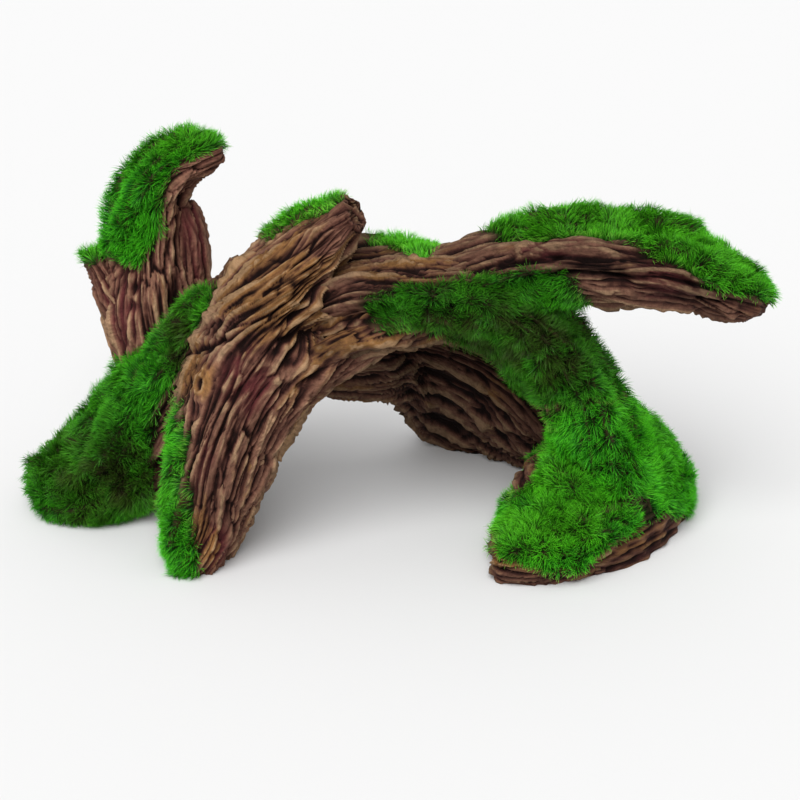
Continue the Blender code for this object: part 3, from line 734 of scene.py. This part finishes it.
# %% Outlines of the mats: x to the right and height in the view, in millimetres
OUTLINES = {
    "moss_left_branch": [
        (-111, 106), (-106, 104), (-100, 106), (-95, 105), (-87, 102), (-82, 108), (-77, 115), (-75, 128),
        (-71, 133), (-66, 137), (-61, 140), (-52, 144), (-52, 160), (-80, 162), (-100, 150), (-113, 122),
    ],
    "moss_left_root": [
        (-132, 52), (-116, 60), (-104, 72), (-95, 82), (-87, 92), (-78, 99), (-68, 100), (-59, 98),
        (-58, 90), (-63, 84), (-67, 78), (-69, 69), (-77, 60), (-80, 47), (-81, 33), (-84, 20), (-86, 4),
        (-134, 4),
    ],
    "moss_trunk_flank": [
        (-71, 66), (-75.5, 57.5), (-77, 47), (-78, 34), (-80, 20), (-84, 7), (-85, -6),
        (-64, -6), (-65, 7), (-66, 27), (-67, 47), (-69.5, 58),
    ],
    "moss_stub": [
        (-50, 128), (-50, 114), (-44, 111), (-38, 114), (-29, 117), (-23, 120), (-18, 123), (-16, 130),
        (-33, 136),
    ],
    "moss_saddle": [
        (-17, 124), (-14, 113), (-7, 111), (-3, 109), (1, 106), (9, 105), (14, 108), (17, 114), (10, 124),
    ],
    "moss_right_branch": [
        (22, 128), (26, 113), (32, 111), (40, 113), (56, 113.5), (68, 110), (76, 106), (87, 102), (95, 95),
        (104, 91), (111, 90), (130, 90), (126, 112), (93, 134), (56, 136),
    ],
    "moss_arch": [
        (-14, 91), (-10, 94), (-7, 97), (-2, 98), (12, 99), (26, 101), (38, 102), (50, 102), (58, 95),
        (61, 90), (62, 86), (74, 78), (86, 66), (84, 63), (65, 58), (52, 57), (46, 58), (37, 60), (33, 65),
        (29, 71), (21, 76), (12, 80), (0, 82), (-10, 82), (-13, 85),
    ],
    "moss_foot": [
        (86, 67), (65, 62.5), (52, 60.5), (47, 57), (49, 52), (47, 46), (43.5, 40), (41, 34), (34, 28),
        (29, 20), (28, 12), (34, 6.5), (47, 4), (51, 1), (62, 3), (67, 9), (74, 13), (81, 15.5),
        (89, 20.5), (92, 18.5), (103, 20), (110, 50), (100, 60),
    ],
}
# Each mat: how far back it reaches and the limbs it covers.
MATS = {
    "moss_left_branch": (77, ["left_branch", "left_shoulder"]),
    "moss_left_root": (66, ["left_root"]),
    "moss_trunk_flank": (34, ["trunk"]),
    "moss_stub": (58, ["trunk"]),
    "moss_saddle": (70, ["crown_hump", "arch"]),
    "moss_right_branch": (54, ["right_branch"]),
    "moss_arch": (46, ["arch", "right_branch"]),
    "moss_foot": (74, ["arch", "foot", "front_toe"]),
}
print("mats of moss:", len(MATS))

# %% [markdown]
# ## How deep in the moss
#
# Moss thins out towards the border of its mat, and the border is ragged. So each point of the bark is asked
# how far inside the outline it lies, and noise moves that distance a little in or out.

# %% Depth inside the mats
# How far the border of a mat strays from its outline, and over what length, in millimetres.
RAGGED, RAGGED_LENGTH, RAGGED_SEED = 1.6, 7, 90
# The outlines are those of the moss's footing, so far above the smooth limb.
FOOTING = 2.0
# From this deep in a mat to this deep, the bark turns dark and green.
UNDER_MOSS = (-1.0, 3.5)


def depth_in_outline(outline, spots):
    """Millimetres that flat spots lie inside an outline, and less than 0 outside it."""
    closed = outline + outline[:1]
    nearest = away_from_line(closed, spots)
    inside = np.zeros(len(spots), bool)
    for (x0, y0), (x1, y1) in zip(closed, closed[1:]):
        crosses = (y0 > spots[:, 1]) != (y1 > spots[:, 1])
        with np.errstate(divide="ignore", invalid="ignore"):
            inside ^= crosses & (spots[:, 0] < x0 + (spots[:, 1] - y0) * (x1 - x0) / (y1 - y0))
    return np.where(inside, nearest, -nearest)


def depth_in_mat(mat, points):
    """Millimetres that points of the wood lie inside a mat's border, and less than 0 outside it."""
    reach, _ = MATS[mat]
    depth = depth_in_outline(OUTLINES[mat], in_view(points))
    depth = np.minimum(depth, reach - points[:, 1])
    return depth + RAGGED * smooth_noise(points / RAGGED_LENGTH, RAGGED_SEED)


mat_depth = {}
for mat, (_, limbs) in MATS.items():
    for limb in limbs:
        points = grids[limb]["points"] + FOOTING * grids[limb]["out"]
        mat_depth[mat, limb] = depth_in_mat(mat, points.reshape(-1, 3)).reshape(points.shape[:2])
for name, grid in grids.items():
    depths = [values.ravel() for (mat, limb), values in mat_depth.items() if limb == name]
    grid["mossy"] = rise(*UNDER_MOSS, np.max(depths, axis=0)) if depths else np.zeros(len(grid["surface"]))
    print(name, "share under moss:", (grid["mossy"] > 0.5).mean().round(2))

# %% [markdown]
# ## The wood as meshes
#
# Every limb becomes a closed tube of quads with a fan at each end, and the limbs of one piece of wood are
# joined in one mesh. What the noise found out is kept on the points: how high the bark stands, how deep a
# furrow is, which plank a point is on, and how near the moss is. The finish reads these later.

# %% Tubes of bark
KEPT = ("fine", "broad", "plank", "mossy", "wine", "ochre", "dark")


def tube_faces(along, around, first):
    """Quads along a tube and triangles over its ends, for points that start at number `first`."""
    row, column = np.meshgrid(np.arange(along - 1), np.arange(around), indexing="ij")
    here = first + row * around + column
    beside = first + row * around + (column + 1) % around
    quads = np.stack([here, beside, beside + around, here + around], axis=-1).reshape(-1, 4)
    ring = np.arange(around)
    start, end = first + along * around, first + along * around + 1
    last = first + (along - 1) * around
    caps = [(start, first + (k + 1) % around, first + k) for k in ring]
    caps += [(end, last + k, last + (k + 1) % around) for k in ring]
    return quads, caps


def give_numbers(mesh, name, values):
    """Keeps one number on every point of a mesh."""
    kept = mesh.attributes.new(name, "FLOAT", "POINT")
    kept.data.foreach_set("value", np.ascontiguousarray(values, np.float32))


def shown(name, data):
    """A new thing in the scene."""
    thing = bpy.data.objects.new(name, data)
    bpy.context.scene.collection.objects.link(thing)
    return thing


def put_on(mesh, node):
    """Puts a mesh in the scene in place of a solid."""
    thing = shown(mesh.name, mesh)
    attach(thing, "root")
    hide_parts(node)
    return thing


def make_wood(name, limbs):
    """One piece of wood, from its limbs, flat where it stands."""
    places, quads, caps, first = [], [], [], 0
    numbers = {key: [] for key in KEPT}
    grains = []
    for limb in limbs:
        grid = grids[limb]
        along, around = grid["points"].shape[:2]
        surface = grid["surface"].reshape(along, around, 3)
        ends = np.stack([surface[0].mean(axis=0), surface[-1].mean(axis=0)])
        limb_quads, limb_caps = tube_faces(along, around, first)
        places += [grid["surface"], ends]
        quads.append(limb_quads)
        caps += limb_caps
        first += along * around + 2
        for key, values in numbers.items():
            values += [grid[key], grid[key][[0, -1]]]
        grains += [grid["strands"], grid["strands"][[0, -1]]]
    places = np.vstack(places)
    places[:, 2] = np.maximum(places[:, 2], 0)
    mesh = bpy.data.meshes.new(name + "_bark")
    mesh.from_pydata(places.tolist(), [], np.vstack(quads).tolist() + caps)
    for key, values in numbers.items():
        give_numbers(mesh, key, np.concatenate(values))
    grain = mesh.attributes.new("grain", "FLOAT_VECTOR", "POINT")
    grain.data.foreach_set("vector", np.vstack(grains).astype(np.float32).ravel())
    mesh.shade_smooth()
    return put_on(mesh, name)


wood = {name: make_wood(name, limbs) for name, limbs in WOOD.items()}
for name, thing in wood.items():
    print(name, "faces:", len(thing.data.polygons))

# %% [markdown]
# ## Writing finishes as sums
#
# A finish is a web of nodes. Drawn by hand it is hard to read, so one small class wraps a socket and lets
# what comes out of it be added and multiplied like any number. Each sum then makes its own node.

# %% A socket that can be reckoned with
class Reading:
    """What comes out of a node, ready for sums."""

    def __init__(self, finish, socket):
        self.finish = finish
        self.socket = socket

    def sum_node(self, operation, first, second):
        return self.finish.node("ShaderNodeMath", {"operation": operation}, {0: first, 1: second})

    def __add__(self, other):
        return self.sum_node("ADD", self, other)

    __radd__ = __add__

    def __sub__(self, other):
        return self.sum_node("SUBTRACT", self, other)

    def __rsub__(self, other):
        return self.sum_node("SUBTRACT", other, self)

    def __mul__(self, other):
        return self.sum_node("MULTIPLY", self, other)

    __rmul__ = __mul__


print("sums:", [key for key in vars(Reading) if key in ("__add__", "__sub__", "__mul__")])

# %% [markdown]
# ## A finish under construction
#
# A second class holds a material while it is made. One method adds every kind of node but the sums, and a
# few short ones give names to what is wanted again and again: a step, a cloud of noise, coats of colour.

# %% A material with its nodes
class Finish:
    """A material under construction."""

    def __init__(self, name):
        self.material = bpy.data.materials.new(name)
        self.material.use_nodes = True
        self.nodes = self.material.node_tree.nodes
        self.links = self.material.node_tree.links
        self.shader = self.nodes["Principled BSDF"]

    def node(self, kind, settings, sockets, out=0):
        """Adds a node: its settings first, then the values or links of its sockets."""
        made = self.nodes.new(kind)
        for key, value in settings.items():
            if key == "stops":
                self.set_stops(made.color_ramp, value)
            else:
                setattr(made, key, value)
        self.feed(made, sockets)
        return Reading(self, made.outputs[out])

    def set_stops(self, ramp, stops):
        while len(ramp.elements) < len(stops):
            ramp.elements.new(0.5)
        for element, (place, colour) in zip(ramp.elements, stops):
            element.position = place
            element.color = (*colour, 1)

    def feed(self, node, sockets):
        """Gives sockets of a node their values or links."""
        for key, value in sockets.items():
            socket = node.inputs[key]
            if isinstance(value, Reading):
                self.links.new(value.socket, socket)
            else:
                socket.default_value = (*value, 1) if socket.type == "RGBA" else value

    def kept(self, name, out="Fac"):
        """A number or place that was kept on the points of the mesh."""
        return self.node("ShaderNodeAttribute", {"attribute_name": name}, {}, out)

    def layers(self, colour, coats):
        """A colour under coats of others, each with its amount from 0 to 1, the lowest coat first."""
        for amount, coat in coats:
            colour = self.node("ShaderNodeMix", {"data_type": "RGBA"}, {0: amount, 6: colour, 7: coat}, 2)
        return colour

    def step(self, value, low, high):
        """0 below low, 1 above high."""
        return self.node("ShaderNodeMapRange", {"interpolation_type": "SMOOTHSTEP"},
                         {0: value, 1: low, 2: high, 3: 0.0, 4: 1.0})

    def ramp(self, value, stops):
        return self.node("ShaderNodeValToRGB", {"stops": stops}, {0: value})

    def stretched(self, place, scale):
        """A place, stretched by one number in each direction."""
        return self.node("ShaderNodeVectorMath", {"operation": "MULTIPLY"}, {0: place, 1: scale})

    def cloud(self, place, scale, detail=4.0, roughness=0.6):
        return self.node("ShaderNodeTexNoise", {}, {"Vector": place, "Scale": scale, "Detail": detail,
                                                    "Roughness": roughness})


def srgb(red, green, blue):
    """A colour from numbers up to 255, as a screen shows it."""
    parts = (v / 255 for v in (red, green, blue))
    return tuple(v / 12.92 if v <= 0.04045 else ((v + 0.055) / 1.055)**2.4 for v in parts)


print("mid grey:", [round(v, 3) for v in srgb(128, 128, 128)])

# %% [markdown]
# ## The finish of the bark
#
# The bark is brown with a red-purple cast, its furrows are nearly black, and the ridges are rubbed lighter
# and more ochre. Real bark varies over a few centimetres too, so slow noise decides which places are more
# ochre and which are more purple. The bump adds only what is finer than the mesh.

# %% Bark
BARK = {
    "furrow": srgb(30, 15, 12),
    "deep": srgb(62, 35, 29),
    "body": srgb(98, 63, 52),
    "ridge": srgb(126, 89, 72),
    "edge": srgb(178, 146, 112),
    "ochre": srgb(146, 104, 54),
    "wine": srgb(96, 44, 46),
    "shade_green": srgb(26, 40, 12),
}


def bark_finish(name, ochre, wine, light):
    """Bark with more or less ochre and wine red in it, painted lighter or darker as a whole for its light
    and shade.
    """
    look = Finish(name)
    grain = look.kept("grain", "Vector")
    fine, broad, plank, mossy = map(look.kept, ("fine", "broad", "plank", "mossy"))
    threads = look.cloud(look.stretched(grain, (0.75, 0.75, 0.08)), 1.0, 5.0, 0.7)
    grit = look.cloud(look.stretched(grain, (0.95, 0.95, 0.42)), 1.0, 5.0, 0.75)
    blotches = look.cloud(look.stretched(grain, (0.09, 0.09, 0.03)), 1.0, 3.0)
    patches = look.cloud(look.stretched(grain, (0.16, 0.16, 0.04)), 1.0, 3.0)
    height = look.step(fine * 1.2 + broad * 0.25 + (threads - 0.5) * 1.1, -1.3, 1.3)
    colour = look.ramp(height, [(0.0, BARK["furrow"]), (0.25, BARK["deep"]), (0.55, BARK["body"]),
                                (0.85, BARK["ridge"])])
    wine_here = look.step(patches + look.kept("wine") * 0.3 + (1 - height) * 0.1, 0.7 - wine, 0.95 - wine)
    ochre_here = look.step(blotches + look.kept("ochre") * 0.3 + plank * 0.16 + height * 0.16,
                           0.86 - ochre, 1.06 - ochre)
    colour = look.layers(colour, [
        (wine_here * 0.75, BARK["wine"]),
        (ochre_here * height * 0.8, BARK["ochre"]),
        (look.step(0 - broad, 1.2, 4.0) * 0.6, BARK["furrow"]),
        (look.step(0 - fine, 0.3, 1.1) * 0.85, BARK["furrow"]),
        (look.step(fine + (threads - 0.5) * 0.8, 0.5, 1.1) * 0.6, BARK["edge"]),
        # Painted shade: the listed dark places go towards the nearly black furrow colour.
        (look.kept("dark") * 0.8, BARK["furrow"]),
        (mossy * 0.85, BARK["shade_green"]),
    ])
    # Painted light and shade: `light` makes the whole piece lighter or darker.
    value = (threads * 0.8 + grit * 2.4 - 0.6) * light
    tone = look.node("ShaderNodeHueSaturation", {}, {"Value": value, "Color": colour})
    bump = look.node("ShaderNodeBump", {}, {"Strength": 1.0, "Distance": 0.0018, "Height": threads + grit})
    look.feed(look.shader, {"Base Color": tone, "Roughness": 0.55 + 0.3 * threads,
                            "Specular IOR Level": 0.12, "Normal": bump})
    return look.material


# Each wood's bark: its share of ochre, its share of wine red, and how much lighter or darker it is painted
# for the light and shade on that piece.
BARK_KINDS = {
    "trunk": (0.1, 0.04, 1.0),
    "arch_leg": (0.1, 0.04, 0.88),
    "right_branch": (0.04, 0.1, 0.72),
    "rear_root": (0.06, 0.04, 0.57),
    "left_root": (0.04, 0.06, 0.78),
    "left_branch": (0.04, 0.08, 1.27),
}
for name, kind in BARK_KINDS.items():
    wood[name].data.materials.append(bark_finish(name + "_bark_finish", *kind))
print("bark finishes:", len(BARK_KINDS))

# %% [markdown]
# ## Moss from fibres
#
# Moss like this is thousands of short soft fibres. Hair would be the usual way, but it can't be carried
# over to other programs, so every fibre is a narrow bent ribbon of three triangles. The fibres grow from the
# bark itself, thick inside the mat and thin at its border.

# %% Roots of the fibres
FIBRE_DENSITY = 8.4
# From this deep inside a mat's border to this deep, the fibres grow to their full density.
THICKENING = (0.2, 3.6)
# Roots are left out where the wood of another limb lies this far above them, judged at every few rows.
BURIED_LIFT = 3.0
BURIED_ROWS = 4


def buried(places, limb):
    """Which places, in the frame before the move, lie inside a limb."""
    grid = grids[limb]
    rows = slice(None, None, BURIED_ROWS)
    middle, up, tangent = grid["middle"][rows], grid["up"][rows], grid["tangent"][rows]
    thick, wide = (np.maximum(grid[key] * grid["shrink"], 0.1)[rows] for key in ("thick", "wide"))
    step = np.linalg.norm(np.gradient(middle, axis=0), axis=1)
    gap = places[:, None] - middle[None]
    row = np.argmin(np.sum(gap**2, axis=2), axis=1)
    gap = gap[np.arange(len(places)), row]
    high = np.sum(gap * up[row], axis=1) / thick[row]
    sideways = gap @ grid["across"] / wide[row]
    lengthways = np.abs(np.sum(gap * tangent[row], axis=1))
    return (high**2 + sideways**2 < 1) & (lengthways < step[row])


def scatter(mat, limb, chance):
    """Random places on a limb inside a mat: on the bark, the way out, and how deep in the mat."""
    grid = grids[limb]
    along, around = grid["points"].shape[:2]
    base = grid["points"]
    right = np.roll(base, -1, axis=1) - base
    down = np.vstack([base[1:], base[-1:]]) - base
    area = np.linalg.norm(np.cross(right, down), axis=2)
    depth = mat_depth[mat, limb]
    wanted = area * FIBRE_DENSITY * rise(*THICKENING, depth)
    wanted[-1] = 0
    count = np.floor(wanted + chance.uniform(0, 1, wanted.shape)).astype(int)
    row, column = np.repeat(np.argwhere(count > 0), count[count > 0], axis=0).T
    u, v = chance.uniform(0, 1, (2, len(row), 1))
    beside, below = (column + 1) % around, row + 1

    def spread(values):
        return ((values[row, column] * (1 - u) + values[row, beside] * u) * (1 - v)
                + (values[below, column] * (1 - u) + values[below, beside] * u) * v)

    surface = grid["surface"].reshape(along, around, 3) / MM
    smooth, out = spread(base), unit(spread(grid["out"]))
    free = np.ones(len(smooth), bool)
    for other in grids:
        if other != limb:
            free &= ~buried(smooth + BURIED_LIFT * out, other)
    return spread(surface)[free], out[free], spread(depth[..., None])[free, 0], smooth[free] + MOVED


print("fibres on each square millimetre:", FIBRE_DENSITY)

# %% [markdown]
# ## Tufts
#
# Moss grows in tufts, and fibres that lean away from the middle of theirs give the starry cushions. The
# middles are picked at random among the roots, no two too near each other. Each fibre belongs to the
# nearest, which a tree of places finds quickly.

# %% Fibres sorted into tufts
FIBRES_AT_MOST = 60000
TUFT_GAP = 4.6
# So many places are tried as middles.
TUFT_TRIES = 12000


def tuft_middles(places, chance):
    """Some of the places, no two nearer than the gap between tufts."""
    order = chance.permutation(len(places))[:TUFT_TRIES]
    chosen = np.zeros((0, 3))
    for place in places[order]:
        if len(chosen) == 0 or np.min(np.sum((chosen - place)**2, axis=1)) > TUFT_GAP**2:
            chosen = np.vstack([chosen, place])
    return chosen


def gather(mat, seed):
    """The fibres' roots in a mat, with their tufts."""
    chance = np.random.default_rng(seed)
    found = [scatter(mat, limb, chance) for limb in MATS[mat][1]]
    roots, outs, depths, bases = (np.concatenate(part) for part in zip(*found))
    if len(roots) > FIBRES_AT_MOST:
        keep = chance.permutation(len(roots))[:FIBRES_AT_MOST]
        roots, outs, depths, bases = (part[keep] for part in (roots, outs, depths, bases))
    middles = tuft_middles(bases, chance)
    tree = KDTree(len(middles))
    for k, middle in enumerate(middles):
        tree.insert(middle, k)
    tree.balance()
    tuft = np.array([tree.find(place)[1] for place in bases])
    return {"roots": roots, "outs": outs, "depths": depths, "bases": bases, "tuft": tuft,
            "middles": middles, "chance": chance}


mats = {mat: gather(mat, 100 + k) for k, mat in enumerate(MATS)}
for mat, found in mats.items():
    print(mat, "fibres:", len(found["roots"]), "tufts:", len(found["middles"]))

# %% [markdown]
# ## Ribbons for fibres
#
# A fibre is a quad and a triangle with one bend between them, and it faces any way at random. It leans out
# from the middle of its tuft and a little with its neighbours, as grass does in wind, and it droops at the
# tip. Some places are brown between the fibres, where the light hardly comes.

# %% How the fibres lean
FIBRE_LENGTH = 4.7
TUFT_REACH = 3.6
LEAN = 14.0
LEAN_AT_RIM = 24.0
LEAN_SPREAD = 10.0
LEAN_MORE = 18.0
DROOP = 0.14
DRIFT_LENGTH, DRIFT_SEED, DRIFT_SHARE = 11, 60, 1.6
STRAY_SHARE = 0.3
MOUND_LENGTH, MOUND_SEED = 9, 70
# The share of its length where a fibre bends, and how deep its root goes.
BEND_AT = 0.55
ROOT_DEPTH = 0.3
# A fibre's length as shares of FIBRE_LENGTH: in the middle of a tuft, lost at its rim, won on a mound,
# lost at the mat's border, and by chance between two shares.
LONG_IN_MIDDLE, LOST_AT_RIM, WON_ON_MOUND, LOST_AT_BORDER = 1.04, 0.12, 0.2, 0.25
LENGTH_CHANCE = (0.8, 1.12)
# From this deep to this deep the moss is no longer its border.
BORDER = (0.5, 4.5)
# How much a fibre's shade follows its tuft, its mound and chance, and the spread of the tufts.
SHADE_OF_TUFT, SHADE_OF_MOUND, SHADE_CHANCE, TUFT_SPREAD = 0.35, 0.7, 0.45, 0.5
# Places where the moss is painted brown and dark between its fibres, as shade: x, height in the view, half
# width, half height.
DIM_PLACES = [(30, 80, 40, 13), (50, 74, 12, 12), (-70, 78, 5, 14), (-98, 34, 22, 16)]
DIM_LENGTH, DIM_SEED, DIM_SPREAD = 5, 80, 0.9


def laid_flat(ways, outs):
    """Ways along the bark: the ways less what of them points out of it."""
    return ways - outs * np.sum(ways * outs, axis=1)[:, None]


def dimness(places):
    """How much the moss is painted brown and dark as shade at places, from 0 to 1."""
    spots = in_view(places)
    total = np.zeros(len(places))
    for x, height, wide, tall in DIM_PLACES:
        gap = (spots - (x, height)) / (wide, tall)
        total = np.maximum(total, np.exp(-np.sum(gap**2, axis=1)))
    return np.clip(total * (1 + DIM_SPREAD * smooth_noise(places / DIM_LENGTH, DIM_SEED)), 0, 1)


def fibre_lines(found):
    """Root, bend and tip of every fibre, its shade, how near the border it is and how much sky it sees."""
    chance, outs = found["chance"], found["outs"]
    count = len(outs)
    away = laid_flat(found["bases"] - found["middles"][found["tuft"]], outs)
    reach = np.clip(np.linalg.norm(away, axis=1) / TUFT_REACH, 0, 1.2)
    drift = [smooth_noise(found["bases"] / DRIFT_LENGTH, DRIFT_SEED + k) for k in range(3)]
    drift = laid_flat(np.stack(drift, axis=1), outs)
    random_way = unit(np.cross(outs, chance.normal(size=(count, 3))))
    heading = unit(unit(away) * reach[:, None] + DRIFT_SHARE * drift + STRAY_SHARE * random_way)
    lean = np.radians(LEAN + LEAN_AT_RIM * reach + chance.normal(0, LEAN_SPREAD, count))[:, None]
    border = 1 - rise(*BORDER, found["depths"])
    mound = smooth_noise(found["bases"] / MOUND_LENGTH, MOUND_SEED)
    length = FIBRE_LENGTH * (LONG_IN_MIDDLE - LOST_AT_RIM * reach + WON_ON_MOUND * mound)
    length = length * chance.uniform(*LENGTH_CHANCE, count) * (1 - LOST_AT_BORDER * border)
    length = length[:, None]
    first = unit(outs * np.cos(lean) + heading * np.sin(lean))
    later = lean + np.radians(LEAN_MORE)
    second = unit(outs * np.cos(later) + heading * np.sin(later) + (0, 0, -DROOP))
    root = found["roots"] - ROOT_DEPTH * outs
    bend = root + first * length * BEND_AT
    tip = bend + second * length * (1 - BEND_AT)
    tuft_shade = chance.normal(0, TUFT_SPREAD, len(found["middles"]))[found["tuft"]]
    shade = SHADE_OF_TUFT * tuft_shade + SHADE_OF_MOUND * mound + chance.normal(0, SHADE_CHANCE, count)
    return root, bend, tip, shade, border, 0.5 + 0.5 * outs[:, 2]


print("brown places:", len(DIM_PLACES))

# %% [markdown]
# ## Mats as meshes
#
# There are too many ribbons to make them one by one, so points, corners and faces are handed to the mesh as
# whole arrays. How far up a fibre a point is, how much sky its tuft sees and how brown its place is are kept
# for the finish. Each ribbon also has a small square of its own in a flat map, for finishes that are baked.

# %% Ribbons in one mesh for each mat
FIBRE_WIDTH = 0.22
# How wide a fibre still is at its bend.
BEND_WIDTH = 0.85
# No fibre reaches lower than this, in metres.
CLEAR_OF_GROUND = 0.0004
# A ribbon has two points at its root, two at its bend and one at its tip. These are the corners of its quad
# and of its triangle, and their places in its square of the map.
RIBBON_POINTS = 5
RIBBON_CORNERS = [0, 1, 2, 3, 3, 2, 4]
TRIANGLE_START = 4
MAP_PLACES = [(0.2, 0.1), (0.8, 0.1), (0.8, 0.55), (0.2, 0.55), (0.2, 0.55), (0.8, 0.55), (0.5, 0.9)]


def ribbon_mesh(name, places, count):
    """A mesh of so many ribbons, from all of their points."""
    order = np.arange(count)[:, None]
    corners = (RIBBON_POINTS * order + RIBBON_CORNERS).ravel()
    starts = (len(RIBBON_CORNERS) * order + (0, TRIANGLE_START)).ravel()
    mesh = bpy.data.meshes.new(name)
    mesh.vertices.add(len(places))
    mesh.vertices.foreach_set("co", places.astype(np.float32).ravel())
    mesh.loops.add(len(corners))
    mesh.loops.foreach_set("vertex_index", corners.astype(np.int32))
    mesh.polygons.add(len(starts))
    mesh.polygons.foreach_set("loop_start", starts.astype(np.int32))
    mesh.update(calc_edges=True)
    return mesh


def give_map(mesh, count):
    """Gives every ribbon a small square of its own in the flat map."""
    side = int(math.ceil(math.sqrt(count)))
    square = np.stack([np.arange(count) % side, np.arange(count) // side], axis=1)[:, None] / side
    spots = (square + np.array(MAP_PLACES) / side).reshape(-1, 2)
    mesh.uv_layers.new(name="OFBake").data.foreach_set("uv", spots.astype(np.float32).ravel())


def make_mat(mat, found):
    """A mat of moss as one mesh of ribbons."""
    root, bend, tip, shade, border, sky = fibre_lines(found)
    count = len(root)
    flat = unit(np.cross(tip - root, found["chance"].normal(size=(count, 3))))
    half = FIBRE_WIDTH / 2
    places = np.stack([root - flat * half, root + flat * half, bend + flat * half * BEND_WIDTH,
                       bend - flat * half * BEND_WIDTH, tip], axis=1).reshape(-1, 3) * MM
    places[:, 2] = np.maximum(places[:, 2], CLEAR_OF_GROUND)
    mesh = ribbon_mesh(mat + "_fibres", places, count)
    give_numbers(mesh, "up_fibre", np.tile([0, 0, BEND_AT, BEND_AT, 1.0], count))
    dim = dimness(found["bases"] - MOVED)
    for name, values in (("shade", shade), ("border", border), ("sky", sky), ("dim", dim)):
        give_numbers(mesh, name, np.repeat(values, RIBBON_POINTS))
    give_map(mesh, count)
    return put_on(mesh, mat)


moss = {mat: make_mat(mat, found) for mat, found in mats.items()}
print("triangles of moss:", 3 * sum(len(found["roots"]) for found in mats.values()))

# %% [markdown]
# ## The finish of the moss
#
# Light hardly reaches the roots of the fibres, so they are dark, and the tips are a clear bright green.
# Tufts differ a little in shade. At the border, where the fibres stand alone, they are paler and yellower.
# Tips that face the sky get a painted highlight of lime, moss that faces up is painted darker, and each mat
# as a whole is painted lighter or darker for the light and shade on it.

# %% Moss
MOSS = {
    "root": srgb(8, 40, 4),
    "middle": srgb(28, 116, 8),
    "tip": srgb(88, 214, 28),
    "painted_highlight_lime": srgb(134, 244, 44),
    "pale": srgb(160, 196, 84),
    "brown": srgb(64, 62, 24),
}


def moss_finish(name, light):
    """Moss, painted lighter or darker as a whole for the light and shade on its mat."""
    look = Finish(name)
    up_fibre, shade, border, sky, dim = map(look.kept, ("up_fibre", "shade", "border", "sky", "dim"))
    place = look.node("ShaderNodeTexCoord", {}, {}, "Object")
    drift = look.cloud(place, 55.0, 2.0)
    colour = look.ramp(up_fibre + shade * 0.14,
                       [(0.0, MOSS["root"]), (0.5, MOSS["middle"]), (1.0, MOSS["tip"])])
    colour = look.layers(colour, [
        # Painted highlight: tips of fibres that face the sky turn lime.
        (look.step(sky + shade * 0.1, 0.6, 1.1) * up_fibre * 0.45, MOSS["painted_highlight_lime"]),
        (look.step(border * up_fibre, 0.2, 0.9) * 0.5, MOSS["pale"]),
        # Painted shade: brown and dark at the listed places.
        (dim * 0.75, MOSS["brown"]),
    ])
    # Painted light and shade: moss that faces up is made darker, moss on sides and undersides lighter.
    tone = look.node("ShaderNodeHueSaturation", {},
                     {"Value": (0.7 + 0.5 * drift) * (1.3 - 0.5 * sky) * light, "Color": colour})
    look.feed(look.shader, {"Base Color": tone, "Roughness": 0.5 + 0.2 * drift, "Specular IOR Level": 0.25})
    return look.material


# How much lighter or darker each mat is painted, for the light and shade on it.
MOSS_PAINTED_LIGHT = {
    "moss_left_branch": 1.0, "moss_left_root": 0.82, "moss_trunk_flank": 1.05, "moss_stub": 1.3,
    "moss_saddle": 1.25, "moss_right_branch": 0.98, "moss_arch": 0.7, "moss_foot": 1.08,
}
for mat, light in MOSS_PAINTED_LIGHT.items():
    moss[mat].data.materials.append(moss_finish(mat + "_finish", light))
print("moss finishes:", len(MOSS_PAINTED_LIGHT))

# %% [markdown]
# ## Floor, light and camera
#
# The arch stands on a plain pale floor in the soft light of a studio. The camera looks down on it by 25
# degrees from the front.

# %% Set the stage
floor_mesh = bpy.data.meshes.new("floor")
floor_mesh.from_pydata([(-4, -4, 0), (4, -4, 0), (4, 4, 0), (-4, 4, 0)], [], [(0, 1, 2, 3)])
floor = shown("floor", floor_mesh)
floor_look = Finish("floor_finish")
floor_look.feed(floor_look.shader, {"Base Color": (0.74, 0.74, 0.74), "Roughness": 0.9})
floor_mesh.materials.append(floor_look.material)

world = bpy.data.worlds.new("studio")
world.use_nodes = True
world.node_tree.nodes["Background"].inputs["Color"].default_value = (1, 1, 1, 1)
world.node_tree.nodes["Background"].inputs["Strength"].default_value = 0.6
bpy.context.scene.world = world
bpy.context.scene.view_settings.view_transform = "Standard"


def soft_sun(name, direction, spread, strength):
    """Even light from one direction, as soft as its spread in degrees."""
    lamp = bpy.data.lights.new(name, "SUN")
    lamp.energy = strength
    lamp.angle = math.radians(spread)
    shown(name, lamp).rotation_euler = Vector(direction).to_track_quat("-Z", "Y").to_euler()


soft_sun("key", (0.25, 0.8, -1.0), 50, 2.9)
print("lamps:", len(bpy.data.lights))

# %% Place the camera
CAMERA_FAR = 0.7
CAMERA_TARGET = (np.array([0, 45.5, 45]) + MOVED) * MM
camera = bpy.data.cameras.new("camera")
camera.lens = 94.5
camera.sensor_width = 36.0
eye = shown("camera", camera)
eye.location = CAMERA_TARGET + CAMERA_FAR * np.array([0, -math.cos(VIEW_DOWN), math.sin(VIEW_DOWN)])
eye.rotation_euler = (math.pi / 2 - VIEW_DOWN, 0, 0)
bpy.context.scene.camera = eye
